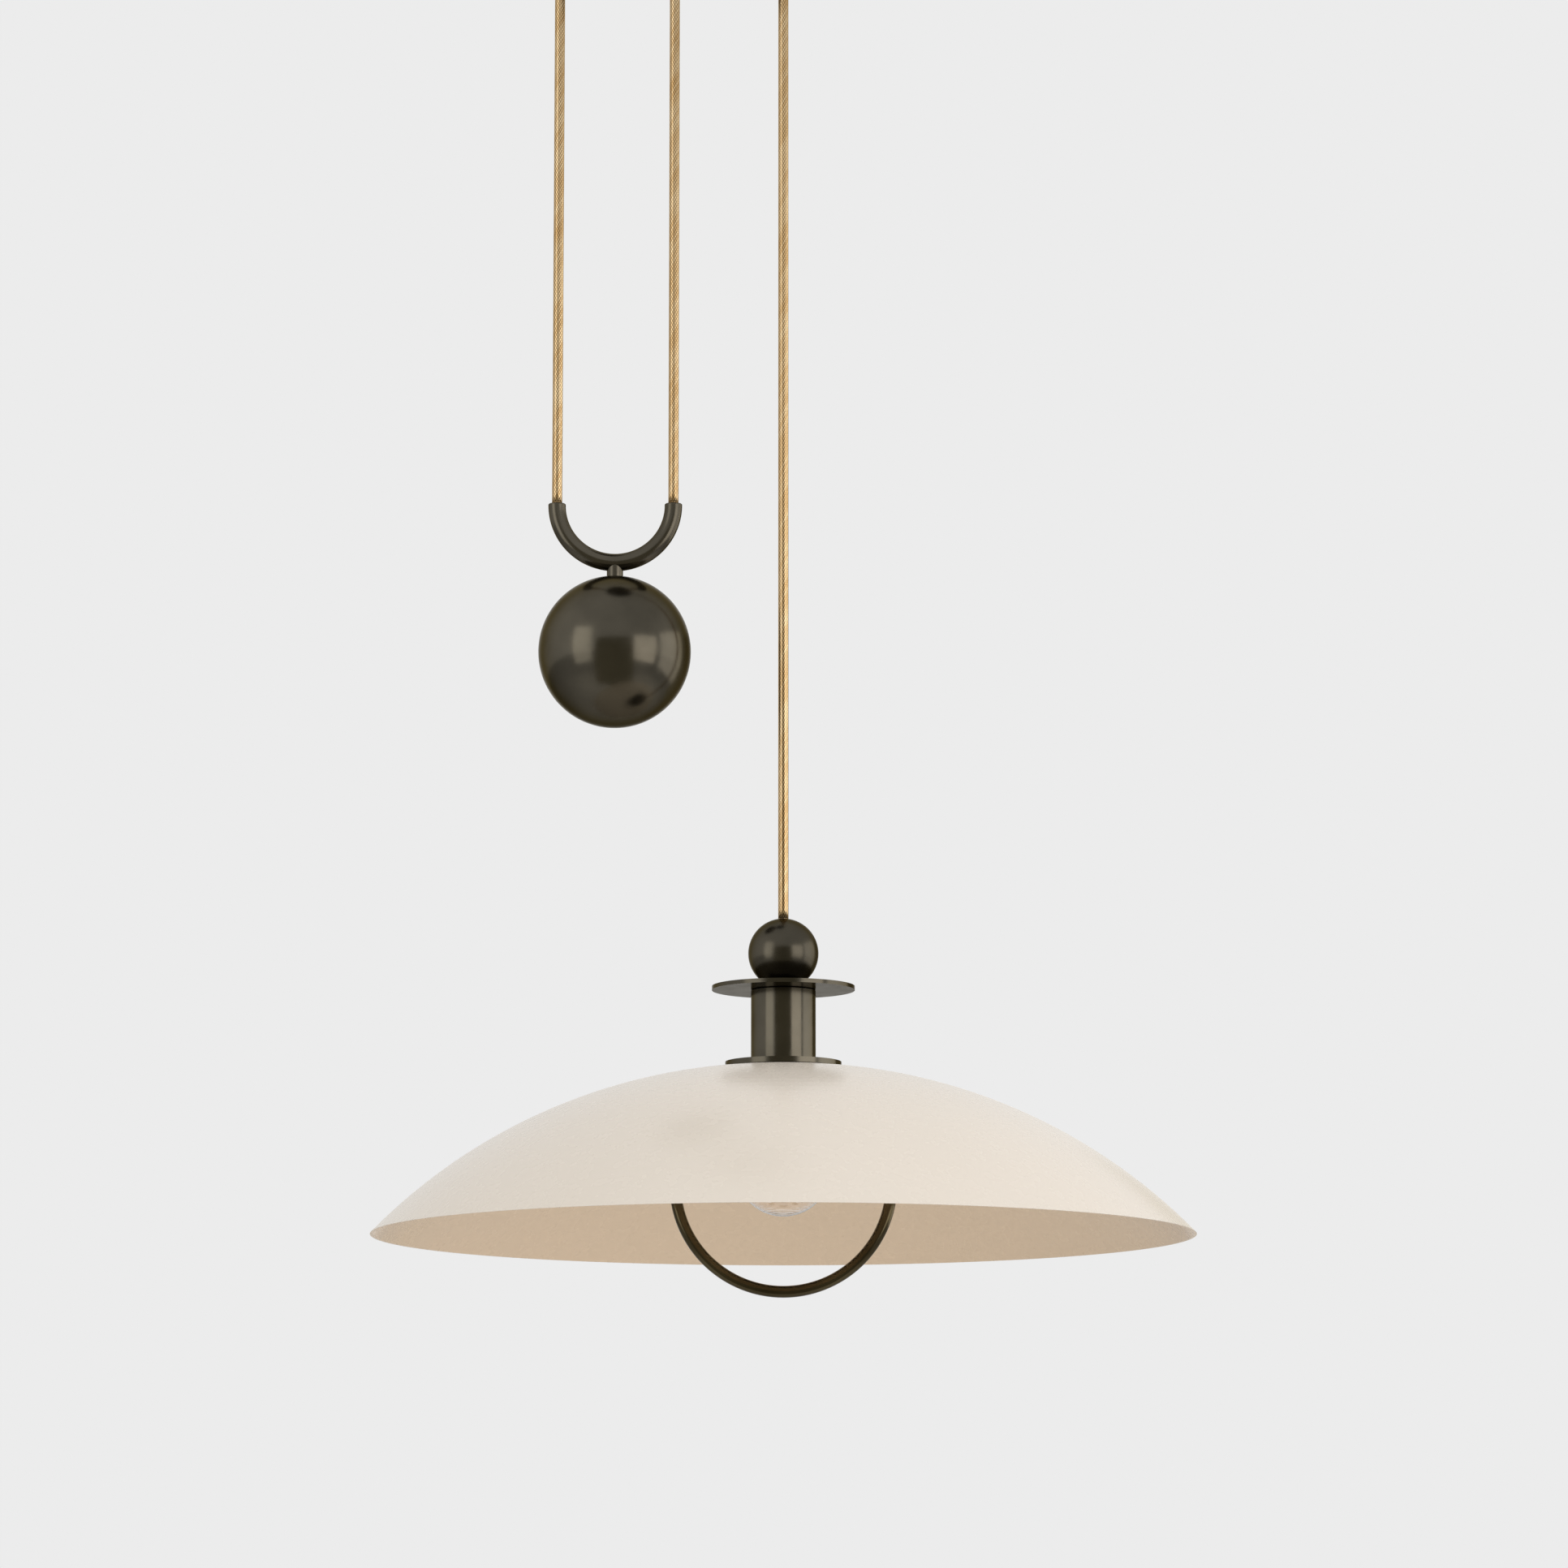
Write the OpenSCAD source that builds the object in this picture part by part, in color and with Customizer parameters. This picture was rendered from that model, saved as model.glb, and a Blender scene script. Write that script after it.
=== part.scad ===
// Rise and fall pendant: a spun shade on a cord that runs over a ceiling pulley and through a weighted guide.
// Origin on the ceiling at the canopy's centre, +Z up. The cords hang in the plane Y = 0.

/* [Cords] */
// Diameter of the braided cord
cord_d = 6.4; // [5.6:0.1:7]
// Distance from the anchored fall to the rising fall
guide_spacing = 73; // [68:1:80]
// Distance from the rising fall to the lamp's fall, over the pulley
pulley_spacing = 69; // [64:1:76]
// From the canopy's underside down to the mouths of the weight's guide
guide_drop = 364.1; // [330:0.1:440]
// From the canopy's underside down to the top of the lamp's ball
lamp_drop = 626.6; // [600:0.1:720]
// Free space round a cord in a bore
cord_play = 0.5; // [0.3:0.05:0.8]
// Free space between a cord and the groove or clamp that carries it
cord_seat = 0.3; // [0.2:0.05:0.4]

/* [Canopy] */
// Outside diameter of the canopy
canopy_d = 200; // [192:1:240]
// Wall of the canopy
canopy_wall = 1.2; // [0.8:0.1:2]
// Outer radius of the canopy's lower edge
canopy_corner = 10; // [4:1:11]
// Free space between the pulley and the canopy's floor
floor_gap = 4.3; // [3:0.1:10]
// Shank radius of the canopy's two side screws
canopy_screw_r = 2; // [1.5:0.1:2.5]
// Radius of the knurled heads of the side screws
canopy_head_r = 5; // [4:0.5:7]
// Length of the knurled heads of the side screws
canopy_head_l = 5; // [3:0.5:8]

/* [Canopy bushings] */
// Radius of a bushing's body, in the canopy's floor
bushing_r = 5.5; // [5:0.1:6.5]
// Radius of a bushing's flange, under the canopy
bushing_flange_r = 8.5; // [7.5:0.1:10]
// Thickness of a bushing's flange
bushing_flange_t = 2; // [1:0.1:3]
// Height of a bushing's body above the canopy's floor
bushing_stand = 2; // [1:0.1:2.5]

/* [Ceiling plate] */
// Thickness of the ceiling plate
plate_t = 2.5; // [2:0.1:4]
// Free space between the plate's edge and the canopy's wall
plate_gap = 4; // [1:0.5:5]
// Distance between the two ceiling screws
slot_spacing = 88.9; // [80:0.1:96]
// Length of each screw slot, end to end
slot_length = 20; // [12:1:24]
// Width of each screw slot
slot_w = 5.2; // [4.5:0.1:6]
// Diameter of the hole for the supply wires
wire_hole_d = 16; // [12:1:18]
// Distance of the supply hole from the plate's centre
wire_hole_x = 22; // [20:1:24]
// Width of the two tabs that hold the canopy
tab_w = 16; // [12:1:24]
// Thickness of the tabs
tab_t = 2; // [1.5:0.1:3]
// Height of the tabs below the plate
tab_h = 14; // [12:1:20]

/* [Pulley] */
// Height of the pulley's rim over the middle of the cord
rim_height = 6; // [4:0.5:8]
// Width of the pulley
wheel_w = 14; // [12:0.5:18]
// Width of the groove's mouth at the rim
groove_mouth = 10; // [8:0.5:11]
// Thickness of the pulley's web
web_t = 5; // [3:0.5:8]
// Radius of the pulley's hub
hub_r = 11; // [9:0.5:13]
// Radius of the pulley's lightening holes
light_hole_r = 4; // [2:0.5:5]
// Number of lightening holes
light_holes = 6; // [3:1:8]
// Diameter of the axle
axle_d = 8; // [6:0.5:10]
// Wall of the pulley's bush
bush_wall = 2; // [1.5:0.1:2.5]
// Thickness of the thrust washers
washer_t = 1; // [0.6:0.1:1.5]
// Axial play on each side of a thrust washer
washer_play = 0.1; // [0.05:0.05:0.3]

/* [Yoke] */
// Thickness of the yoke's plate
yoke_t = 2; // [1.5:0.1:3]
// Free space between the pulley and the yoke's web
yoke_gap = 4.5; // [3.5:0.1:8]
// Half width of the yoke's cheeks
cheek_r = 11; // [9:0.5:14]
// Distance of each yoke screw from the pulley's middle
yoke_screw_x = 14; // [9:0.5:18]
// Metal round each yoke screw
yoke_edge = 6; // [5:0.5:9]

/* [Screws] */
// Shank radius of the bracket screws
screw_r = 2; // [1.5:0.1:2.2]
// Head radius of the bracket screws
screw_head_r = 3.6; // [3:0.1:4.5]
// Head height of the bracket screws
screw_head_h = 2.2; // [1.6:0.1:2.6]
// Radial gap of a screw or a threaded joint in its hole
thread_gap = 0.05; // [0.03:0.01:0.1]
// Radial gap of a turning shaft in its bore
running_gap = 0.05; // [0.02:0.01:0.09]

/* [Cord anchor] */
// Thickness of the anchor bracket
anchor_t = 2; // [1.5:0.1:3]
// Width of the anchor bracket
anchor_w = 24; // [22:1:26]
// Length of the anchor bracket's foot on the plate
anchor_foot = 16; // [13:1:18]
// Depth of each half of the cord clamp
clamp_depth = 8; // [6:0.5:9]
// Height of the cord clamp
clamp_h = 16; // [10:1:24]
// Height of the clamp's lower face over the canopy's underside
clamp_rise = 33; // [20:1:36]
// Shank radius of the clamp screws
clamp_screw_r = 1.5; // [1.2:0.1:1.8]
// Distance of each clamp screw from the cord
clamp_screw_y = 8; // [7:0.5:8.5]
// Length of the cord's sheath above the clamp
sheath_stub = 10; // [5:1:12]

/* [Terminal block] */
// Length of the terminal block
block_l = 30; // [28:1:34]
// Width of the terminal block
block_w = 18; // [17:1:22]
// Height of the terminal block
block_h = 14; // [12:0.5:18]
// Distance between neighbouring poles
pole_pitch = 9; // [8:0.5:10]
// Distance of the block's middle from the plate's centre, along X
block_x = 42; // [40:1:44]
// Distance of the block's middle from the plate's centre, along Y
block_y = 44; // [42:1:46]
// Diameter of one insulated lead
lead_d = 2.2; // [1.8:0.1:2.6]
// Radius of a terminal's wire hole
wire_bore_r = 1.7; // [1.5:0.1:2]

/* [Counterweight] */
// Outside diameter of the guide tube
tube_d = 11; // [10.4:0.1:13]
// Radius of the guide tube's bore
tube_bore_r = 4.5; // [4.3:0.1:4.6]
// Straight length at each mouth of the guide tube
mouth_h = 1; // [1:0.1:6]
// Radius of the rounded edge at each mouth
mouth_edge = 0.8; // [0.2:0.1:0.9]
// Diameter of the counterweight ball
weight_d = 95.4; // [80:0.1:110]
// Visible length of the stem between the tube and the ball
stem_show = 3.6; // [2:0.05:12]
// Radius of the stem
stem_r = 5.1; // [4.5:0.1:7]
// Radius of the stem's threaded end
stud_r = 4; // [3:0.1:4.4]
// Length of the stem's threaded end
stud_l = 18; // [10:1:30]

/* [Lamp head] */
// Diameter of the small ball that grips the cord
ball_d = 43.6; // [43.4:0.1:52]
// Height of the ball's centre over the disc
ball_seat = 20.4; // [18:0.1:20.6]
// Radius of the grommet in the ball's top
grommet_r = 4.6; // [4.4:0.1:5.5]
// Length of the grommet
grommet_l = 6; // [4:0.5:10]
// Radius of the screw that grips the cord
grip_screw_r = 2; // [1.5:0.1:3]
// Diameter of the disc
disc_d = 88.6; // [70:0.1:110]
// Thickness of the disc
disc_t = 2.5; // [1.5:0.1:4]
// Diameter of the neck
neck_d = 40.2; // [40:0.1:44]
// Wall of the neck
neck_wall = 1.6; // [1.2:0.1:1.8]
// Height of the neck tube
neck_h = 44.65; // [43:0.05:52]
// Depth of the threaded cap inside the neck's top
cap_depth = 5.8; // [4.5:0.1:7]
// Chamfer on the neck's upper edge, under the disc
neck_edge = 0.5; // [0.2:0.1:0.8]
// Outside radius of the threaded nipple
nipple_r = 5; // [4.8:0.1:5.6]
// Wall of the threaded nipple
nipple_wall = 1.2; // [1:0.05:1.3]
// Length of the nipple in the ball
nipple_up = 10; // [6:0.5:12]
// Radius of the lock nut, across its corners
nut_r = 8.5; // [7.5:0.1:10]
// Thickness of the lock nut
nut_t = 2.5; // [2:0.1:4]

/* [Shade] */
// Diameter of the shade's rim
shade_d = 508; // [420:1:600]
// Height of the shade
shade_drop = 104.2; // [90:0.1:130]
// Wall of the shade
shade_wall = 1.2; // [0.8:0.1:2]
// Radius of the shade's flat seat
seat_r = 30; // [29:0.5:34]
// Radius where the shade's dome begins
dome_start_r = 37; // [35:0.5:44]
// Slope of the dome where it begins, in degrees
dome_slope = 5; // [2:0.5:9]
// Diameter of the flange on the shade
flange_d = 72; // [60:0.5:84]
// Thickness of the flange
flange_t = 3.35; // [1.5:0.05:4]
// Thickness of the fibre gasket under the shade
gasket_t = 1; // [0.5:0.1:2]
// Radius of the fibre gasket
gasket_r = 28; // [26:0.5:28.5]

/* [Handle] */
// Radius of the handle ring, to the middle of its rod
handle_r = 66.7; // [62:0.1:80]
// Diameter of the handle ring's rod
handle_d = 7.3; // [6:0.1:9]
// Outside radius of the collar that carries the handle
collar_r = 25.5; // [25:0.1:27.5]
// Height of the collar
collar_h = 16; // [14:0.5:20]
// Wall left between the ring's ends and the collar's bore
socket_floor = 2.4; // [1.5:0.1:3]
// Shank radius of the handle's grub screws
grub_r = 1.5; // [1:0.1:2]

/* [Lampholder] */
// Radius of the lampholder's body
holder_r = 15.9; // [15.6:0.1:16.2]
// Height of the lampholder's cap
holder_cap_h = 11; // [10:0.5:14]
// Radius of the lampholder's cap
holder_cap_r = 14.4; // [13.8:0.1:15.4]
// Wall of the lampholder's cap
holder_cap_wall = 2; // [1.5:0.1:2.5]
// Height of the lampholder's body
holder_h = 40.8; // [38:0.1:44]
// Length of the nipple in the lampholder's cap
nipple_down = 4; // [3:0.5:5]
// Distance of each lead's hole from the lampholder's axis
lead_hole_x = 3.4; // [3.2:0.1:5]
// Height of the body's spigot in the lampholder's cap
holder_spigot_h = 3; // [2:0.1:3.5]
// Thickness of the lampholder's floor
holder_floor = 9.8; // [8:0.1:12]
// Inside radius of the screw shell
shell_r = 13.4; // [13.3:0.05:13.6]
// Thickness of the screw shell
shell_t = 0.5; // [0.3:0.05:0.7]
// Height of the centre contact
contact_h = 2.5; // [1.5:0.1:4]

/* [Bulb] */
// Length of the bulb
bulb_l = 108; // [100:0.5:125]
// Diameter of the bulb
bulb_d = 60; // [50:0.5:66]
// Radius of the bulb's glass neck
bulb_neck_r = 13.5; // [12.8:0.1:14.5]
// Radius of the curve between the glass neck and the globe
bulb_fillet = 30; // [15:1:45]
// Wall of the bulb's glass
glass_t = 0.8; // [0.5:0.1:1.2]
// Radius of the bulb's screw cap, at the bottom of its thread
bulb_cap_r = 12.2; // [11.8:0.1:12.4]
// Height of the thread over the cap
bulb_thread = 0.9; // [0.5:0.1:1]
// Pitch of the thread
bulb_pitch = 3.6; // [3:0.1:4]
// Height of the screw cap
bulb_cap_h = 23; // [20:0.5:26]
// Height of the insulator and contact over the screw cap
bulb_tip_h = 3; // [2:0.1:5]
// Length of the glass stem that holds the filament
bulb_stem_l = 30; // [24:0.5:36]
// Height of the stem's flared foot in the bulb's neck
bulb_foot_h = 4; // [2:0.5:6]
// Depth of the filament below the stem
filament_drop = 12; // [8:0.5:16]
// Distance of each end of the filament from the bulb's axis
filament_reach = 9; // [6:0.5:12]

/* [Hidden] */

$fn = 96;
// How far a cutting solid runs past the face that it cuts
over = 1;

// Colours
BRONZE = [0.27, 0.25, 0.21];
CREAM = [0.89, 0.85, 0.8];
GOLD = [0.78, 0.62, 0.36];
STEEL = [0.72, 0.73, 0.74];
BRASS = [0.83, 0.68, 0.38];
DARK = [0.15, 0.15, 0.15];
WHITE = [0.93, 0.92, 0.9];
GLASS = [0.85, 0.9, 0.92, 0.4];

// Cord lines
cord_r = cord_d / 2;
lamp_x = (guide_spacing + pulley_spacing) / 2;
anchor_x = -lamp_x;
riser_x = anchor_x + guide_spacing;
guide_r = guide_spacing / 2;
guide_x = anchor_x + guide_r;
pitch_r = pulley_spacing / 2;
pulley_x = riser_x + pitch_r;

// Pulley and canopy, from the ceiling down
rim_r = pitch_r + rim_height;
pulley_z = -(plate_t + yoke_t + yoke_gap + rim_r);
canopy_h = rim_r + floor_gap + canopy_wall - pulley_z;
canopy_z = -canopy_h;
canopy_r = canopy_d / 2;
plate_r = canopy_r - canopy_wall - plate_gap;
tab_hole_z = -plate_t - tab_h / 2;
axle_r = axle_d / 2;
bush_r = axle_r + running_gap + bush_wall;
cheek_y = wheel_w / 2 + washer_t + 2 * washer_play;
cheek_out = cheek_y + yoke_t;
clip_t = 1;
axle_head_t = 2;
axle_head_r = axle_r + 2.5;
clip_groove = 0.9;

// Cord anchor
clamp_z = canopy_z + clamp_rise;
clamp_top = clamp_z + clamp_h;
strap_x = anchor_x + clamp_depth;
sheath_top = clamp_top + sheath_stub;

// Terminal block
block_side = block_y - block_w / 2;
wire_z = -plate_t - block_h * 0.55;
well_r = 2.4;
well_h = 4.5;

// Counterweight, from the guide's mouths down
tube_r = tube_d / 2;
guide_mouth_z = canopy_z - guide_drop;
guide_z = guide_mouth_z - mouth_h;
liner_bore_r = cord_r + cord_play * 0.8;
liner_inset = 0.3;
weight_r = weight_d / 2;
weight_top = guide_z - guide_r - tube_r - stem_show;
weight_z = weight_top - weight_r;
stem_foot = weight_z + sqrt(weight_r * weight_r - stem_r * stem_r) - 0.4;

// Lamp head, from the ball down
ball_r = ball_d / 2;
ball_top = canopy_z - lamp_drop;
ball_z = ball_top - ball_r;
disc_top = ball_z - ball_seat;
disc_bottom = disc_top - disc_t;
neck_r = neck_d / 2;
neck_in = neck_r - neck_wall;
neck_bottom = disc_bottom - neck_h;
crown_z = neck_bottom - flange_t;
rim_z = crown_z - shade_drop;
shade_r = shade_d / 2;
nipple_top = disc_top + nipple_up;
cap_bottom = disc_bottom - cap_depth;
nut_z = cap_bottom - nut_t;

// Shade clamp: the neck's threaded spigot, the gasket and the collar
spigot_r = neck_in - 0.4;
spigot_bore = spigot_r - neck_wall;
spigot_step = 6;
gasket_top = crown_z - shade_wall;
collar_top = gasket_top - gasket_t;
collar_bottom = collar_top - collar_h;
spigot_end = collar_bottom - 1;
shade_hole_r = spigot_r + 0.3;

// Handle ring: its ends enter the collar's sides at mid height
handle_rod_r = handle_d / 2;
collar_mid = (collar_top + collar_bottom) / 2;
handle_z = collar_mid - sqrt(handle_r * handle_r - collar_r * collar_r);
socket_r = spigot_r + thread_gap + socket_floor;
handle_start = acos(socket_r / handle_r);
grub_x = (socket_r + collar_r) / 2;
grub_top = handle_z + sqrt(pow(handle_r - handle_rod_r, 2) - pow(grub_x + grub_r, 2));

// Lampholder and bulb, from the lock nut down
holder_cap_top = nut_z - 0.6;
holder_top = holder_cap_top - holder_cap_h;
holder_bottom = holder_top - holder_h;
holder_floor_z = holder_top - holder_floor;
holder_spigot_r = holder_cap_r - holder_cap_wall - thread_gap;
nipple_bottom = holder_cap_top - nipple_down;
nipple_bore = nipple_r - nipple_wall;
contact_z = holder_floor_z - contact_h;
shell_top = holder_floor_z - 0.3;
shell_bottom = holder_bottom + 2.5;
shell_out = shell_r + shell_t;
bulb_cap_top = contact_z - bulb_tip_h;
bulb_cap_bottom = bulb_cap_top - bulb_cap_h;
bulb_r = bulb_d / 2;
globe_z = contact_z - bulb_l + bulb_r;
holder_cord_end = nipple_bottom + 2;

// Moves and turns
module at(x, z) { translate([x, 0, z]) children(); }
module along_y() { rotate([90, 0, 0]) children(); }
module along_x() { rotate([0, 90, 0]) children(); }
module both_y() { children(); mirror([0, 1, 0]) children(); }

// A round bar from z_low to z_high
module bar(r, z_low, z_high) { translate([0, 0, z_low]) cylinder(h = z_high - z_low, r = r); }

// A round tube from z_low to z_high
module tube(r_out, r_in, z_low, z_high) {
    difference() {
        bar(r_out, z_low, z_high);
        bar(r_in, z_low - over, z_high + over);
    }
}

// A bent round bar in the XZ plane, from one angle to another, measured from +X towards +Z
module bent_bar(bend_r, r, from, to) {
    along_y() rotate([0, 0, from]) rotate_extrude(angle = to - from) translate([bend_r, 0]) circle(r);
}

// A pan-head screw that hangs head down under z = 0, with its shank above
module hung_screw(r, shank, head_r, head_h) {
    bar(r, 0, shank);
    bar(head_r, -head_h, 0);
}

// A cubic curve through space
function curve_point(p, t) =
    pow(1 - t, 3) * p[0] + 3 * pow(1 - t, 2) * t * p[1] + 3 * (1 - t) * t * t * p[2] + pow(t, 3) * p[3];
function curve(p, steps) = [for (i = [0:steps]) curve_point(p, i / steps)];
function unit(v) = v / norm(v);
function heading(path, i) = unit(path[min(i + 1, len(path) - 1)] - path[max(i - 1, 0)]);
function hoop(centre, ahead, side, r, sides) =
    let (u = unit(cross(ahead, side)), v = cross(ahead, u))
    [for (k = [0:sides - 1]) centre + r * (cos(360 * k / sides) * u + sin(360 * k / sides) * v)];

// A thin tube swept along a path; side is a direction that the path never takes
module swept(path, r, side, sides = 8) {
    rings = len(path);
    points = [for (i = [0:rings - 1]) each hoop(path[i], heading(path, i), side, r, sides)];
    walls = [for (i = [0:rings - 2], k = [0:sides - 1])
        let (a = i * sides + k, b = i * sides + (k + 1) % sides)
        each [[a, a + sides, b + sides], [a, b + sides, b]]];
    start = [for (k = [1:sides - 2]) [0, k, k + 1]];
    last = (rings - 1) * sides;
    end = [for (k = [1:sides - 2]) [last, last + k + 1, last + k]];
    polyhedron(points = points, faces = concat(walls, start, end));
}

// ---- Ceiling plate and canopy ----

module slot_cut(y) {
    reach = slot_length / 2 - slot_w / 2;
    translate([0, y, -plate_t - over]) linear_extrude(plate_t + 2 * over) {
        for (side = [-1, 1]) translate([0, side * reach]) circle(slot_w / 2);
        square([slot_w, 2 * reach], center = true);
    }
}

module screw_hole(x, y) { translate([x, y, 0]) bar(screw_r + thread_gap, -plate_t - over, over); }

module ceiling_plate() {
    color(STEEL) difference() {
        union() {
            bar(plate_r, -plate_t, 0);
            both_y() translate([-tab_w / 2, plate_r - tab_t - 1, -plate_t - tab_h])
                cube([tab_w, tab_t, tab_h + plate_t / 2]);
        }
        for (side = [-1, 1]) slot_cut(side * slot_spacing / 2);
        at(-wire_hole_x, 0) bar(wire_hole_d / 2, -plate_t - over, over);
        for (side = [-1, 1]) screw_hole(pulley_x + side * yoke_screw_x, 0);
        screw_hole(anchor_screw_x, 0);
        screw_hole(-block_x + pole_pitch / 2, block_y);
        screw_hole(-block_x, -block_y);
        at(0, tab_hole_z) along_y() bar(canopy_screw_r + thread_gap, -plate_r - over, plate_r + over);
    }
}

module canopy_profile() {
    inner = canopy_corner - canopy_wall;
    difference() {
        translate([0, canopy_z]) union() {
            translate([0, canopy_corner]) square([canopy_r, canopy_h - canopy_corner]);
            square([canopy_r - canopy_corner, canopy_corner + over]);
            translate([canopy_r - canopy_corner, canopy_corner]) circle(canopy_corner);
        }
        translate([0, canopy_z + canopy_wall]) {
            translate([-over, inner]) square([canopy_r - canopy_wall + over, canopy_h]);
            translate([-over, 0]) square([canopy_r - canopy_corner + over, canopy_corner]);
            translate([canopy_r - canopy_corner, inner]) circle(inner);
        }
        translate([-2 * over - canopy_corner, canopy_z - over]) square([canopy_corner + 2 * over, canopy_h]);
    }
}

module canopy_cover() {
    color(BRONZE) difference() {
        rotate_extrude() canopy_profile();
        for (x = [anchor_x, riser_x, lamp_x])
            at(x, canopy_z) bar(bushing_r + thread_gap, -over, canopy_wall + over);
        at(0, tab_hole_z) along_y() bar(canopy_screw_r + 4 * thread_gap, -canopy_r - over, canopy_r + over);
    }
}

module canopy_screws() {
    shank = canopy_r - plate_r + tab_t + 3;
    color(BRONZE) both_y() translate([0, canopy_r, tab_hole_z]) along_y() {
        bar(canopy_screw_r, -0.1, shank);
        bar(canopy_head_r, -canopy_head_l, 0);
    }
}

module cord_bushing(x) {
    color(DARK) at(x, canopy_z) difference() {
        union() {
            bar(bushing_r, -bushing_flange_t, canopy_wall + bushing_stand);
            bar(bushing_flange_r, -bushing_flange_t, 0);
        }
        bar(cord_r + cord_play, -bushing_flange_t - over, canopy_wall + bushing_stand + over);
    }
}

module anchor_cord_bushing() { cord_bushing(anchor_x); }
module riser_cord_bushing() { cord_bushing(riser_x); }
module lamp_cord_bushing() { cord_bushing(lamp_x); }

// ---- Pulley and yoke ----

module yoke_cheek() {
    translate([0, cheek_out, 0]) along_y() linear_extrude(yoke_t) difference() {
        union() {
            circle(cheek_r);
            translate([-cheek_r, 0]) square([2 * cheek_r, -plate_t - pulley_z]);
        }
        circle(axle_r + running_gap);
    }
}

module pulley_yoke() {
    web_half = yoke_screw_x + yoke_edge;
    color(STEEL) difference() {
        union() {
            at(pulley_x, pulley_z) both_y() yoke_cheek();
            translate([pulley_x - web_half, -cheek_out, -plate_t - yoke_t])
                cube([2 * web_half, 2 * cheek_out, yoke_t]);
        }
        for (side = [-1, 1]) at(pulley_x + side * yoke_screw_x, 0)
            bar(screw_r + 2 * thread_gap, -plate_t - yoke_t - over, 0);
    }
}

anchor_screw_x = strap_x + anchor_t + anchor_foot / 2;

module bracket_screws() {
    color(STEEL) {
        for (side = [-1, 1]) at(pulley_x + side * yoke_screw_x, -plate_t - yoke_t)
            hung_screw(screw_r, plate_t + yoke_t - 0.2, screw_head_r, screw_head_h);
        at(anchor_screw_x, -plate_t - anchor_t)
            hung_screw(screw_r, plate_t + anchor_t - 0.2, screw_head_r, screw_head_h);
    }
}

module pulley_axle() {
    far_end = cheek_out + clip_t + 2.5;
    color(STEEL) at(pulley_x, pulley_z) along_y() difference() {
        union() {
            bar(axle_r, -far_end, cheek_out + axle_head_t);
            bar(axle_head_r, cheek_out, cheek_out + axle_head_t);
        }
        tube(axle_r + over, axle_r - clip_groove, -cheek_out - clip_t - 0.1, -cheek_out - 0.05);
    }
}

module axle_clip() {
    color(STEEL) at(pulley_x, pulley_z) along_y()
        tube(axle_head_r, axle_r - clip_groove + thread_gap, -cheek_out - clip_t - 0.05, -cheek_out - 0.1);
}

module thrust_washers() {
    inner = wheel_w / 2 + washer_play;
    color(BRASS) at(pulley_x, pulley_z) along_y() for (side = [0, 1]) mirror([0, 0, side])
        tube(hub_r - 1, axle_r + 2 * running_gap, inner, inner + washer_t);
}

module wheel_profile() {
    groove_r = cord_r + cord_seat;
    difference() {
        union() {
            translate([0, -wheel_w / 2]) square([hub_r, wheel_w]);
            translate([0, -web_t / 2]) square([rim_r, web_t]);
            translate([pitch_r - groove_r - 3, -wheel_w / 2]) square([rim_height + groove_r + 3, wheel_w]);
        }
        translate([-over, -wheel_w]) square([bush_r + over, 2 * wheel_w]);
        translate([pitch_r, 0]) circle(groove_r);
        polygon([
            [pitch_r, -groove_r], [rim_r + over, -groove_mouth / 2],
            [rim_r + over, groove_mouth / 2], [pitch_r, groove_r],
        ]);
    }
}

module pulley_wheel() {
    web_r = (hub_r + pitch_r - cord_r - cord_seat - 3) / 2;
    color(BRASS) at(pulley_x, pulley_z) along_y() difference() {
        rotate_extrude() wheel_profile();
        for (i = [0:light_holes - 1]) rotate([0, 0, 360 * i / light_holes])
            translate([web_r, 0, 0]) bar(light_hole_r, -wheel_w, wheel_w);
    }
}

module pulley_bush() {
    color([0.7, 0.5, 0.3]) at(pulley_x, pulley_z) along_y()
        tube(bush_r - thread_gap, axle_r + running_gap, -wheel_w / 2, wheel_w / 2);
}

// ---- Cord anchor ----

module anchor_bracket() {
    color(STEEL) difference() {
        union() {
            translate([strap_x, -anchor_w / 2, clamp_z - 2])
                cube([anchor_t, anchor_w, -plate_t - clamp_z + 2]);
            translate([strap_x, -anchor_w / 2, -plate_t - anchor_t])
                cube([anchor_t + anchor_foot, anchor_w, anchor_t]);
        }
        at(anchor_screw_x, 0) bar(screw_r + 2 * thread_gap, -plate_t - anchor_t - over, 0);
        clamp_bores(thread_gap);
    }
}

// The two clamp screws' holes, in every piece that they cross
module clamp_bores(gap) {
    both_y() translate([anchor_x - 2 * clamp_depth, clamp_screw_y, clamp_z + clamp_h / 2])
        along_x() bar(clamp_screw_r + gap, 0, 4 * clamp_depth);
}

module clamp_half(side) {
    low = side > 0 ? anchor_x + cord_seat / 2 : anchor_x - clamp_depth;
    color(WHITE) difference() {
        translate([low, -anchor_w / 2, clamp_z]) cube([clamp_depth - cord_seat / 2, anchor_w, clamp_h]);
        at(anchor_x, clamp_z) bar(cord_r + thread_gap, -over, clamp_h + over);
        clamp_bores(2 * thread_gap);
    }
}

module clamp_base() { clamp_half(1); }
module clamp_cap() { clamp_half(-1); }

module clamp_screws() {
    color(STEEL) both_y() translate([anchor_x - clamp_depth, clamp_screw_y, clamp_z + clamp_h / 2])
        along_x() hung_screw(clamp_screw_r, 2 * clamp_depth + anchor_t, 2 * clamp_screw_r, clamp_screw_r);
}

// ---- Terminals inside the canopy ----

module terminal_wells() {
    for (pole = [-1:1], side = [-1, 1])
        translate([-block_x + pole * pole_pitch, block_y + side * block_w / 4, -plate_t - block_h])
            children();
}

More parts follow.
